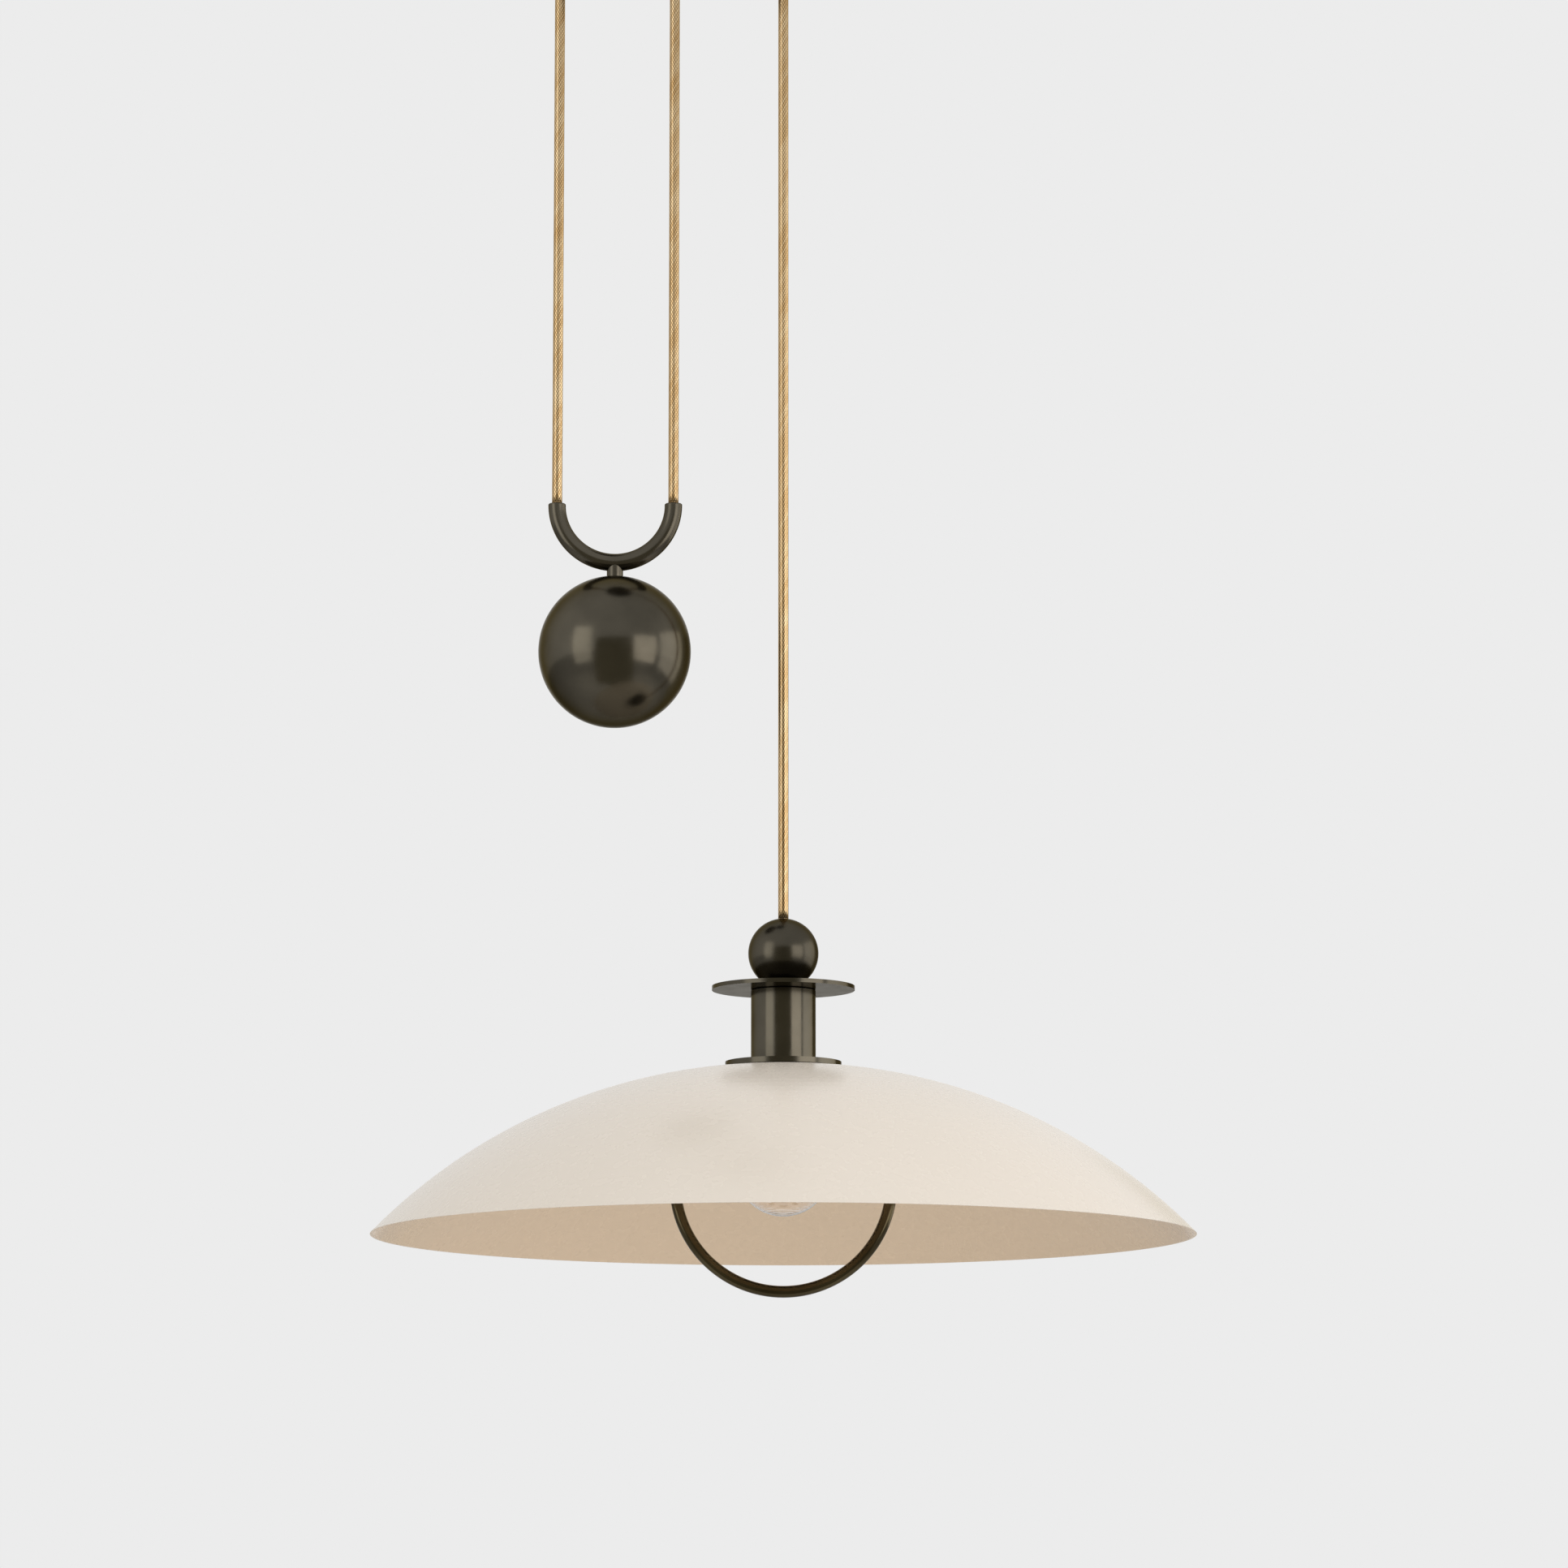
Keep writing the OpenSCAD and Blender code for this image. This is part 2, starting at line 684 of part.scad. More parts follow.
module terminal_block() {
    color(WHITE) difference() {
        translate([-block_x - block_l / 2, block_side, -plate_t - block_h])
            cube([block_l, block_w, block_h]);
        for (pole = [-1:1]) translate([-block_x + pole * pole_pitch, block_side, wire_z])
            rotate([-90, 0, 0]) bar(wire_bore_r, -over, block_w + over);
        terminal_wells() bar(well_r, -over, well_h);
        translate([-block_x + pole_pitch / 2, block_y, 0])
            bar(screw_r + 2 * thread_gap, -plate_t - block_h - over, 0);
    }
}

module terminal_screws() {
    color(BRASS) terminal_wells() bar(well_r - thread_gap, 1, well_h - 0.05);
}

module block_screw() {
    color(STEEL) translate([-block_x + pole_pitch / 2, block_y, -plate_t - block_h])
        hung_screw(screw_r, plate_t + block_h - 0.2, screw_r + 0.5, 1.5);
}

module earth_screw() {
    color(BRASS) translate([-block_x, -block_y, -plate_t])
        hung_screw(screw_r, plate_t - 0.2, screw_head_r + 0.6, screw_head_h);
}

// Three leads fan out from the sheath, pass behind the anchor's strap and enter the block straight
module canopy_leads() {
    fan = cord_r - lead_d / 2 - 0.1;
    color([0.35, 0.3, 0.55]) for (pole = [-1:1]) {
        turn = 90 - 120 * pole;
        start = [anchor_x + fan * cos(turn), fan * sin(turn), sheath_top];
        leave = start + [4 * pole - 2, 26 + 4 * pole, 14 + 4 * pole];
        mouth = [-block_x + pole * pole_pitch, block_side - 1.5, wire_z];
        path = curve([start + [0, 0, 2], leave, mouth - [0, 9, 0], mouth], 12);
        swept(concat([start, start + [0, 0, 1]], path, [mouth + [0, 5, 0]]), lead_d / 2, [1, 0, 0]);
    }
}

// ---- Cords ----

module fall(x, z_low, z_high) { color(GOLD) at(x, 0) bar(cord_r, z_low, z_high); }

module clamped_cord() { fall(anchor_x, clamp_z, sheath_top); }
module anchored_cord() { fall(anchor_x, guide_mouth_z, clamp_z); }
module riser_cord() { fall(riser_x, guide_mouth_z, pulley_z); }
module lamp_cord() { fall(lamp_x, ball_top, pulley_z); }
module holder_cord() { fall(lamp_x, holder_cord_end, ball_top); }

module looped_cord() {
    color(GOLD) at(guide_x, guide_z) {
        bent_bar(guide_r, cord_r, 180, 360);
        for (side = [-1, 1]) at(side * guide_r, 0) bar(cord_r, 0, mouth_h);
    }
}

module cord_over_pulley() { color(GOLD) at(pulley_x, pulley_z) bent_bar(pitch_r, cord_r, 0, 180); }

// ---- Counterweight ----

// A half turn of tube with a straight length at each end
module guide_half_turn(r_out, r_in, straight) {
    along_y() rotate([0, 0, 180]) rotate_extrude(angle = 180) translate([guide_r, 0]) difference() {
        circle(r_out);
        circle(r_in);
    }
    for (side = [-1, 1]) at(side * guide_r, 0) difference() {
        bar(r_out, 0, straight);
        bar(r_in, -over, straight + over);
    }
}

module mouth_edge_cut() {
    at(0, mouth_h) rotate_extrude() difference() {
        translate([tube_r - mouth_edge, -mouth_edge]) square([mouth_edge + over, mouth_edge + over]);
        translate([tube_r - mouth_edge, -mouth_edge]) circle(mouth_edge);
    }
}

module cord_guide() {
    color(BRONZE) at(guide_x, guide_z) difference() {
        guide_half_turn(tube_r, tube_bore_r, mouth_h);
        for (side = [-1, 1]) at(side * guide_r, 0) mouth_edge_cut();
    }
}

module guide_liner() {
    color(WHITE) at(guide_x, guide_z)
        guide_half_turn(tube_bore_r - thread_gap, liner_bore_r, mouth_h - liner_inset);
}

module weight_stem() {
    color(BRONZE) at(guide_x, 0) difference() {
        union() {
            bar(stem_r, stem_foot, guide_z - guide_r);
            bar(stud_r, stem_foot - stud_l, stem_foot);
        }
        at(0, guide_z) bent_bar(guide_r, tube_r + thread_gap, 180, 360);
    }
}

module weight_ball() {
    color(BRONZE) at(guide_x, 0) difference() {
        at(0, weight_z) sphere(weight_r);
        bar(stem_r + thread_gap, stem_foot, weight_top + over);
        bar(stud_r + thread_gap, stem_foot - stud_l - 1, stem_foot + over);
    }
}

// ---- Lamp head ----

module cord_ball() {
    color(BRONZE) at(lamp_x, 0) difference() {
        at(0, ball_z) sphere(ball_r);
        bar(ball_r + over, disc_top - ball_r, disc_top);
        bar(cord_r + cord_play * 0.4, disc_top - over, ball_top + over);
        bar(nipple_r + thread_gap, disc_top - over, nipple_top + 1);
        bar(grommet_r + thread_gap, ball_top - grommet_l, ball_top + over);
        at(0, ball_z) rotate([-90, 0, 0]) bar(grip_screw_r + thread_gap, 0, ball_r + over);
    }
}

module ball_grommet() {
    color(DARK) at(lamp_x, 0) intersection() {
        tube(grommet_r, cord_r + cord_play * 0.4, ball_top - grommet_l, ball_top + over);
        at(0, ball_z) sphere(ball_r);
    }
}

module grip_screw() {
    color(DARK) at(lamp_x, ball_z) rotate([-90, 0, 0]) bar(grip_screw_r, cord_r + 0.05, ball_r - 1.2);
}

module top_disc() { color(BRONZE) at(lamp_x, 0) tube(disc_d / 2, nipple_r + thread_gap, disc_bottom, disc_top); }

module threaded_nipple() { color(BRASS) at(lamp_x, 0) tube(nipple_r, nipple_bore, nipple_bottom, nipple_top); }

module lock_nut() {
    color(BRASS) at(lamp_x, nut_z) difference() {
        cylinder(h = nut_t, r = nut_r, $fn = 6);
        bar(nipple_r + thread_gap, -over, nut_t + over);
    }
}

module neck_cap() {
    color(BRONZE) at(lamp_x, 0) tube(neck_in - thread_gap, nipple_r + thread_gap, cap_bottom, disc_bottom);
}

module neck_tube() {
    color(BRONZE) at(lamp_x, 0) difference() {
        union() {
            bar(neck_r, neck_bottom, disc_bottom - neck_edge);
            translate([0, 0, disc_bottom - neck_edge])
                cylinder(h = neck_edge, r1 = neck_r, r2 = neck_r - neck_edge);
            bar(spigot_r, spigot_end, neck_bottom + over);
        }
        bar(neck_in, neck_bottom + spigot_step, disc_bottom + over);
        bar(spigot_bore, spigot_end - over, disc_bottom);
    }
}

module shade_flange() {
    color(BRONZE) at(lamp_x, 0) tube(flange_d / 2, spigot_r + thread_gap, crown_z, neck_bottom);
}

// The dome is one arc, from its slope at the seat to the rim
dome_start_z = crown_z - (dome_start_r - seat_r) * tan(dome_slope);
dome_chord = [shade_r - dome_start_r, dome_start_z - rim_z];
dome_turn = 2 * (atan2(dome_chord[1], dome_chord[0]) - dome_slope);
dome_arc_r = norm(dome_chord) / (2 * sin(dome_turn / 2));
dome_centre = [dome_start_r - dome_arc_r * sin(dome_slope), dome_start_z - dome_arc_r * cos(dome_slope)];

// Points along the dome, on its outside or a wall's thickness inside it, down to the rim's plane
function dome_end(inset) = acos((rim_z - dome_centre[1]) / (dome_arc_r - inset));
function dome_points(inset) = let (steps = 28, end = dome_end(inset)) [for (i = [0:steps])
    let (a = dome_slope + (end - dome_slope) * i / steps)
    dome_centre + (dome_arc_r - inset) * [sin(a), cos(a)]];
function backwards(list) = [for (i = [len(list) - 1:-1:0]) list[i]];

module shade() {
    bend_in = shade_wall * tan(dome_slope / 2);
    color(CREAM) at(lamp_x, 0) rotate_extrude() polygon(concat(
        [[shade_hole_r, crown_z], [seat_r, crown_z]],
        dome_points(0),
        backwards(dome_points(shade_wall)),
        [[seat_r - bend_in, crown_z - shade_wall], [shade_hole_r, crown_z - shade_wall]]
    ));
}

module shade_gasket() { color(DARK) at(lamp_x, 0) tube(gasket_r, shade_hole_r, collar_top, gasket_top); }

module ring_path(r, from) { at(0, handle_z) bent_bar(handle_r, r, 180 - from, 360 + from); }

module handle_collar() {
    color(BRONZE) at(lamp_x, 0) difference() {
        tube(collar_r, spigot_r + thread_gap, collar_bottom, collar_top);
        ring_path(handle_rod_r + 2 * thread_gap, handle_start);
        for (side = [-1, 1]) at(side * grub_x, 0) bar(grub_r + thread_gap, collar_bottom - over, grub_top + 2 * over);
    }
}

module handle_ring() { color(BRONZE) at(lamp_x, 0) ring_path(handle_rod_r, handle_start - 0.1); }

module handle_screws() {
    color(DARK) at(lamp_x, 0) for (side = [-1, 1]) at(side * grub_x, 0)
        bar(grub_r, collar_bottom + 0.3, grub_top - 2 * thread_gap);
}

// ---- Lampholder ----

module lampholder_cap() {
    color(BRASS) at(lamp_x, 0) difference() {
        bar(holder_cap_r, holder_top, holder_cap_top);
        bar(holder_cap_r - holder_cap_wall, holder_top - over, nipple_bottom);
        bar(nipple_r + thread_gap, holder_top, holder_cap_top + over);
    }
}

module lampholder_body() {
    color(WHITE) at(lamp_x, 0) difference() {
        union() {
            bar(holder_r, holder_bottom, holder_top);
            bar(holder_spigot_r, holder_top - over, holder_top + holder_spigot_h);
        }
        bar(shell_out + thread_gap, holder_bottom - over, holder_floor_z);
        for (side = [-1, 1]) at(side * lead_hole_x, 0)
            bar(lead_d / 2 + 0.4, holder_floor_z - over, holder_top + holder_spigot_h + over);
    }
}

module screw_shell() {
    color(BRASS) at(lamp_x, 0) {
        tube(shell_out, shell_r, shell_bottom, shell_top);
        tube(shell_out, 9, shell_top, holder_floor_z);
    }
}

module centre_contact() {
    color(BRASS) at(lamp_x, 0) {
        bar(7.5, holder_floor_z - 0.6, holder_floor_z);
        bar(2.5, contact_z, holder_floor_z - 0.6);
    }
}

module holder_leads() {
    spigot_top = holder_top + holder_spigot_h;
    color([0.35, 0.3, 0.55]) at(lamp_x, 0) for (side = [-1, 1]) {
        start = [side * (lead_d / 2 + 0.15), 0, holder_cord_end];
        mouth = [side * lead_hole_x, 0, spigot_top];
        bend = curve([start - [0, 0, 1.2], start - [0, 0, 3.5], mouth + [0, 0, 2.5], mouth], 8);
        swept(concat([start], bend, [[mouth[0], 0, holder_top - 3]]), lead_d / 2, [0, 1, 0]);
    }
}

// ---- Bulb ----

// The globe's circle, a curve tangent to it, and the straight neck
bulb_rise = sqrt(pow(bulb_r + bulb_fillet, 2) - pow(bulb_neck_r + bulb_fillet, 2));
bulb_meet = atan2(bulb_rise, bulb_neck_r + bulb_fillet);

function globe_points(inset) = [for (a = [-90:5:bulb_meet])
    [(bulb_r - inset) * cos(a), globe_z + (bulb_r - inset) * sin(a)]];
function fillet_points(inset) = [for (i = [0:8]) let (a = bulb_meet * (1 - i / 8))
    [bulb_neck_r + bulb_fillet - (bulb_fillet + inset) * cos(a),
        globe_z + bulb_rise - (bulb_fillet + inset) * sin(a)]];
function bulb_points(inset, top) = concat(
    [[0, globe_z - bulb_r + inset]],
    [for (p = globe_points(inset)) if (p[0] > 0.01) p],
    fillet_points(inset),
    [[bulb_neck_r - inset, top], [0, top]]
);

module bulb_glass() {
    color(GLASS) at(lamp_x, 0) rotate_extrude() difference() {
        polygon(bulb_points(0, bulb_cap_bottom));
        polygon(bulb_points(glass_t, bulb_cap_bottom + over));
    }
}

module bulb_cap() {
    threads = floor((bulb_cap_h - 4) / bulb_pitch);
    color(BRASS) at(lamp_x, 0) difference() {
        union() {
            bar(bulb_cap_r, bulb_cap_bottom, bulb_cap_top);
            for (i = [1:threads]) at(0, bulb_cap_top - i * bulb_pitch)
                rotate_extrude() translate([bulb_cap_r, 0]) circle(bulb_thread, $fn = 24);
        }
        bar(bulb_cap_r - 0.6, bulb_cap_bottom - over, bulb_cap_top - 0.6);
        bar(6, bulb_cap_top - over, bulb_cap_top + over);
    }
}

module bulb_contact() {
    color(DARK) at(lamp_x, 0) {
        translate([0, 0, bulb_cap_top]) cylinder(h = bulb_tip_h - 0.8, r1 = 10, r2 = 5);
        bar(4, contact_z - 0.8, contact_z);
    }
}

stem_tip = bulb_cap_bottom - bulb_stem_l;
stem_tip_r = 2.2;
stem_waist_r = 4;

module bulb_stem() {
    color(GLASS) at(lamp_x, 0) {
        translate([0, 0, bulb_cap_bottom - bulb_foot_h])
            cylinder(h = bulb_foot_h, r1 = stem_waist_r, r2 = bulb_neck_r - glass_t - 0.1);
        translate([0, 0, stem_tip]) cylinder(h = bulb_stem_l - bulb_foot_h, r1 = stem_tip_r, r2 = stem_waist_r);
    }
}

module filament() {
    leg_r = 0.4;
    color(STEEL) at(lamp_x, stem_tip) {
        for (side = [-1, 1]) swept([
            [side * (stem_tip_r - leg_r), 0, -0.1],
            [side * stem_tip_r, 0, -2],
            [side * filament_reach, 0, -filament_drop]
        ], leg_r, [0, 1, 0]);
        translate([-filament_reach, 0, -filament_drop]) along_x() bar(leg_r + 0.1, 0, 2 * filament_reach);
    }
}

ceiling_plate();
canopy_cover();
canopy_screws();
anchor_cord_bushing();
riser_cord_bushing();
lamp_cord_bushing();
pulley_yoke();
bracket_screws();
pulley_axle();
axle_clip();
thrust_washers();
pulley_wheel();
pulley_bush();
anchor_bracket();
clamp_base();
clamp_cap();
clamp_screws();
terminal_block();
terminal_screws();
block_screw();
earth_screw();
canopy_leads();
clamped_cord();
anchored_cord();
looped_cord();
riser_cord();
cord_over_pulley();
lamp_cord();
cord_guide();
guide_liner();
weight_stem();
weight_ball();
cord_ball();
ball_grommet();
grip_screw();
top_disc();
threaded_nipple();
lock_nut();
neck_cap();
neck_tube();
shade_flange();
shade();
shade_gasket();
handle_collar();
handle_ring();
handle_screws();
lampholder_cap();
lampholder_body();
screw_shell();
centre_contact();
holder_leads();
holder_cord();
bulb_glass();
bulb_cap();
bulb_contact();
bulb_stem();
filament();
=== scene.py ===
"""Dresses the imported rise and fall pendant: a braided cord, a spun cream shade and dark bronze metalwork.

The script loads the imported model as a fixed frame, makes the studio and the camera, builds the cord's stretches, which
stand for their plain solids, and gives every piece a procedural finish.
"""

import logging
import math
from collections.abc import Callable
from dataclasses import dataclass, field
from enum import Enum

import bmesh
import bpy
from mathutils import Matrix, Quaternion, Vector


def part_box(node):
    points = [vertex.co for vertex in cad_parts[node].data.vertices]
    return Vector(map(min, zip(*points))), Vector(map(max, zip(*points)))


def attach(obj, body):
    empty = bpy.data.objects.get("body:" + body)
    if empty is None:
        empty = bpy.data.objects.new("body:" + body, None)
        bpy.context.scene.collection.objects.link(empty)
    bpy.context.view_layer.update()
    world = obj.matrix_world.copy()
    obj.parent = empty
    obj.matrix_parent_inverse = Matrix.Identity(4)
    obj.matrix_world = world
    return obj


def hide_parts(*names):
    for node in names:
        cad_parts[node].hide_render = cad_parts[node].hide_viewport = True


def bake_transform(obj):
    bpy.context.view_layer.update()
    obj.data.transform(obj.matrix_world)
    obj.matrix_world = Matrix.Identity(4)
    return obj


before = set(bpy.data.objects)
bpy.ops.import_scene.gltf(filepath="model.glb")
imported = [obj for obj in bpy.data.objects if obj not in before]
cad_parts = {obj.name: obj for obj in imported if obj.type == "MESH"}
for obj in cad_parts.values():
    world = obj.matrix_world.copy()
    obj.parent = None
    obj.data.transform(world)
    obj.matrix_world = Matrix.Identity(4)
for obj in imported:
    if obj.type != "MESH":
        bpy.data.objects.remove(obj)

log = logging.getLogger("pendant")

Colour = tuple[float, float, float]
Point = tuple[float, float, float]

CEILING, WEIGHT, LAMP = "ceiling_fitting", "counterweight", "lamp"

ORIGIN = (0.0, 0.0, 0.0)
LAMP_X = 0.071
GUIDE_X = -0.0345
DOME_MIDDLE = (LAMP_X, 0.0, -0.85)
PENDANT_MIDDLE = (0.0, 0.0, -0.7)

BLACK, WHITE = (0.0, 0.0, 0.0), (1.0, 1.0, 1.0)

# The curve from a display value to a linear one.
CURVE_KNEE, CURVE_SLOPE, CURVE_SHIFT, CURVE_SCALE, CURVE_POWER = 0.04045, 12.92, 0.055, 1.055, 2.4

# Most of a noise texture's values lie between these two.
NOISE_LOW, NOISE_HIGH = 0.3, 0.7
BUMP_STRENGTH = 1.0

# The fine lines in metal: how many a metre, and how much each direction is stretched.
TURNED_LINES = 3400.0
DRAWN_STRETCH = (260.0, 260.0, 260.0)
ROLLED_STRETCH = (2600.0, 90.0, 2600.0)
# A turned line's place is its height and this share of its radius, so that flat faces have rings too.
RADIUS_SHARE = 0.9
WITHOUT_HEIGHT = (1.0, 1.0, 0.0)


def tone(red: int, green: int, blue: int) -> Colour:
    """The linear colour of a display colour.

    Args:
        red, green, blue: The display values, from 0 to 255.

    Returns:
        The three linear values.
    """
    shares = (v / 255 for v in (red, green, blue))
    return tuple(
        s / CURVE_SLOPE if s <= CURVE_KNEE else ((s + CURVE_SHIFT) / CURVE_SCALE) ** CURVE_POWER for s in shares
    )


def dimmed(colour: Colour, share: float) -> Colour:
    """A colour whose values are each brought down to a share of themselves."""
    return tuple(c * share for c in colour)


class Grain(Enum):
    """The way that a tool or a mill left fine lines in a metal."""

    TURNED = "turned"
    DRAWN = "drawn"
    ROLLED = "rolled"


class NodeGraph:
    """A material's node tree, made one node at a time around its Principled shader."""

    def __init__(self, name: str) -> None:
        """Starts a material with a Principled shader.

        Args:
            name: The material's name.
        """
        self.material = bpy.data.materials.new(name)
        self.material.use_nodes = True
        self.tree = self.material.node_tree
        self.shader = self.tree.nodes["Principled BSDF"]
        self.coordinates = self.tree.nodes.new("ShaderNodeTexCoord")

    def add(self, kind: str, inputs: dict | None = None, **options: object) -> bpy.types.Node:
        """Adds a node.

        Args:
            kind: The node's type.
            inputs: Values or links for its inputs, by name or number.
            options: The node's own settings.

        Returns:
            The node.
        """
        node = self.tree.nodes.new(kind)
        for key, value in options.items():
            setattr(node, key, value)
        for key, value in (inputs or {}).items():
            self.feed(node.inputs[key], value)
        return node

    def feed(self, socket: bpy.types.NodeSocket, value: object) -> None:
        """Sets a socket to a value, or links it.

        Args:
            socket: The input.
            value: A number, a colour or an output.
        """
        if isinstance(value, bpy.types.NodeSocket):
            self.tree.links.new(value, socket)
        elif isinstance(value, tuple) and socket.type == "RGBA":
            socket.default_value = (*value[:3], 1.0)
        else:
            socket.default_value = value

    def maths(self, operation: str, *values: object) -> bpy.types.NodeSocket:
        """Adds a Math node and returns its output."""
        return self.add("ShaderNodeMath", dict(enumerate(values)), operation=operation).outputs[0]

    def about(self, centre: Point, scale: Point = (1.0, 1.0, 1.0)) -> bpy.types.NodeSocket:
        """Object coordinates measured from a point.

        Args:
            centre: The point, in metres.
            scale: How much each direction is stretched.

        Returns:
            The vector output.
        """
        place = self.coordinates.outputs["Object"]
        shift = tuple(-c * s for c, s in zip(centre, scale))
        return self.add("ShaderNodeMapping", {"Vector": place, "Location": shift, "Scale": scale}).outputs[0]

    def noise(self, vector: bpy.types.NodeSocket, scale: float, detail: float = 3.0) -> bpy.types.NodeSocket:
        """A noise texture's value over a vector."""
        return self.add("ShaderNodeTexNoise", {"Vector": vector, "Scale": scale, "Detail": detail}).outputs["Fac"]

    def spread(self, value: bpy.types.NodeSocket, low: float, high: float) -> bpy.types.NodeSocket:
        """A noise value stretched from its usual middle range to a range of one's own."""
        limits = {"From Min": NOISE_LOW, "From Max": NOISE_HIGH, "To Min": low, "To Max": high}
        return self.add("ShaderNodeMapRange", {"Value": value, **limits}).outputs[0]

    def blend(self, share: object, first: object, second: object) -> bpy.types.NodeSocket:
        """A mix of two colours.

        Args:
            share: How much of the second colour there is, from 0 to 1.
            first: The first colour.
            second: The second colour.

        Returns:
            The colour output.
        """
        node = self.add("ShaderNodeMix", data_type="RGBA")
        for name, value in (("Factor_Float", share), ("A_Color", first), ("B_Color", second)):
            self.feed(next(s for s in node.inputs if s.identifier == name), value)
        return next(s for s in node.outputs if s.identifier == "Result_Color")

    def relief(self, height: bpy.types.NodeSocket, depth: float) -> None:
        """Gives the shader a bump from a height of 0 to 1 and its real depth in metres."""
        bump = self.add("ShaderNodeBump", {"Height": height, "Distance": depth, "Strength": BUMP_STRENGTH})
        self.tree.links.new(bump.outputs[0], self.shader.inputs["Normal"])

    def surface(self, **values: object) -> bpy.types.Material:
        """Sets the Principled shader's sockets and gives the material.

        Args:
            values: The sockets by name, with an underscore for each space.

        Returns:
            The finished material.
        """
        for name, value in values.items():
            self.feed(self.shader.inputs[name.replace("_", " ")], value)
        return self.material


@dataclass(frozen=True)
class Metal:
    """A metal finish: two tones that drift into each other, and fine lines from its making."""

    name: str
    dark: Colour
    light: Colour
    roughness: float = 0.3
    smoother: float = 0.03
    rougher: float = 0.04
    grain: Grain = Grain.TURNED
    axis: float = LAMP_X
    grain_depth: float = 4e-6
    drift_scale: float = 22.0
    wipe_scale: float = 110.0
    rim: Colour = WHITE

    def lines(self, graph: NodeGraph) -> bpy.types.NodeSocket:
        """The height of the fine lines.

        Args:
            graph: The material's node tree.

        Returns:
            The height output.
        """
        if self.grain is Grain.TURNED:
            spot = graph.about((self.axis, 0.0, 0.0))
            flat = graph.add("ShaderNodeVectorMath", {0: spot, 1: WITHOUT_HEIGHT}, operation="MULTIPLY").outputs[0]
            reach = graph.add("ShaderNodeVectorMath", {0: flat}, operation="LENGTH").outputs["Value"]
            height = graph.add("ShaderNodeSeparateXYZ", {0: spot}).outputs["Z"]
            along = graph.maths("MULTIPLY_ADD", reach, RADIUS_SHARE, height)
            inputs = {"W": along, "Scale": TURNED_LINES, "Detail": 2.0}
            return graph.add("ShaderNodeTexNoise", inputs, noise_dimensions="1D").outputs["Fac"]
        stretch = DRAWN_STRETCH if self.grain is Grain.DRAWN else ROLLED_STRETCH
        return graph.noise(graph.about(ORIGIN, stretch), 1.0, detail=2.0)

    def material(self) -> bpy.types.Material:
        """The finish as a node material."""
        graph = NodeGraph(self.name)
        spot = graph.about(ORIGIN)
        patch = graph.noise(spot, self.drift_scale, detail=4.0)
        colour = graph.blend(graph.spread(patch, 0.0, 1.0), self.dark, self.light)
        wipe = graph.noise(spot, self.wipe_scale)
        graph.relief(self.lines(graph), self.grain_depth)
        return graph.surface(
            Base_Color=colour,
            Metallic=1.0,
            Specular_Tint=self.rim,
            Roughness=graph.spread(wipe, self.roughness - self.smoother, self.roughness + self.rougher),
        )


@dataclass(frozen=True)
class SatinPaint:
    """The shade's sprayed paint, with painted shade: the inside of the dome gets a darker, warmer colour that stands
    for the shade and warm bounce light there, though it is one coat of paint.
    """

    name: str
    outside: Colour
    # Painted shade: the darker, warmer colour given to the inside of the dome in place of the paint's own colour.
    inside_painted_shade: Colour
    edge: float = 0.05
    cloud_scale: float = 6.0
    cloud_share: float = 0.03
    cloud_tone: float = 0.6
    peel_scale: float = 700.0
    peel_depth: float = 1.5e-6
    sheen_scale: float = 90.0
    roughness: float = 0.27
    smoother: float = 0.01
    rougher: float = 0.015
    specular: float = 0.5

    def material(self) -> bpy.types.Material:
        """The finish as a node material."""
        graph = NodeGraph(self.name)
        spot = graph.about(DOME_MIDDLE)
        # Painted shade: faces that point down, on the inside of the dome, are blended to the darker, warmer colour.
        upward = graph.add("ShaderNodeSeparateXYZ", {0: graph.coordinates.outputs["Normal"]}).outputs["Z"]
        limits = {"From Min": -self.edge, "From Max": self.edge}
        outer = graph.add("ShaderNodeMapRange", {"Value": upward, **limits}).outputs[0]
        coat = graph.blend(outer, self.inside_painted_shade, self.outside)
        cloud = graph.spread(graph.noise(spot, self.cloud_scale, detail=1.0), 0.0, self.cloud_share)
        colour = graph.blend(cloud, coat, dimmed(self.inside_painted_shade, self.cloud_tone))
        graph.relief(graph.noise(spot, self.peel_scale, detail=2.0), self.peel_depth)
        sheen = graph.noise(spot, self.sheen_scale)
        return graph.surface(
            Base_Color=colour,
            Roughness=graph.spread(sheen, self.roughness - self.smoother, self.roughness + self.rougher),
            Specular_IOR_Level=self.specular,
        )


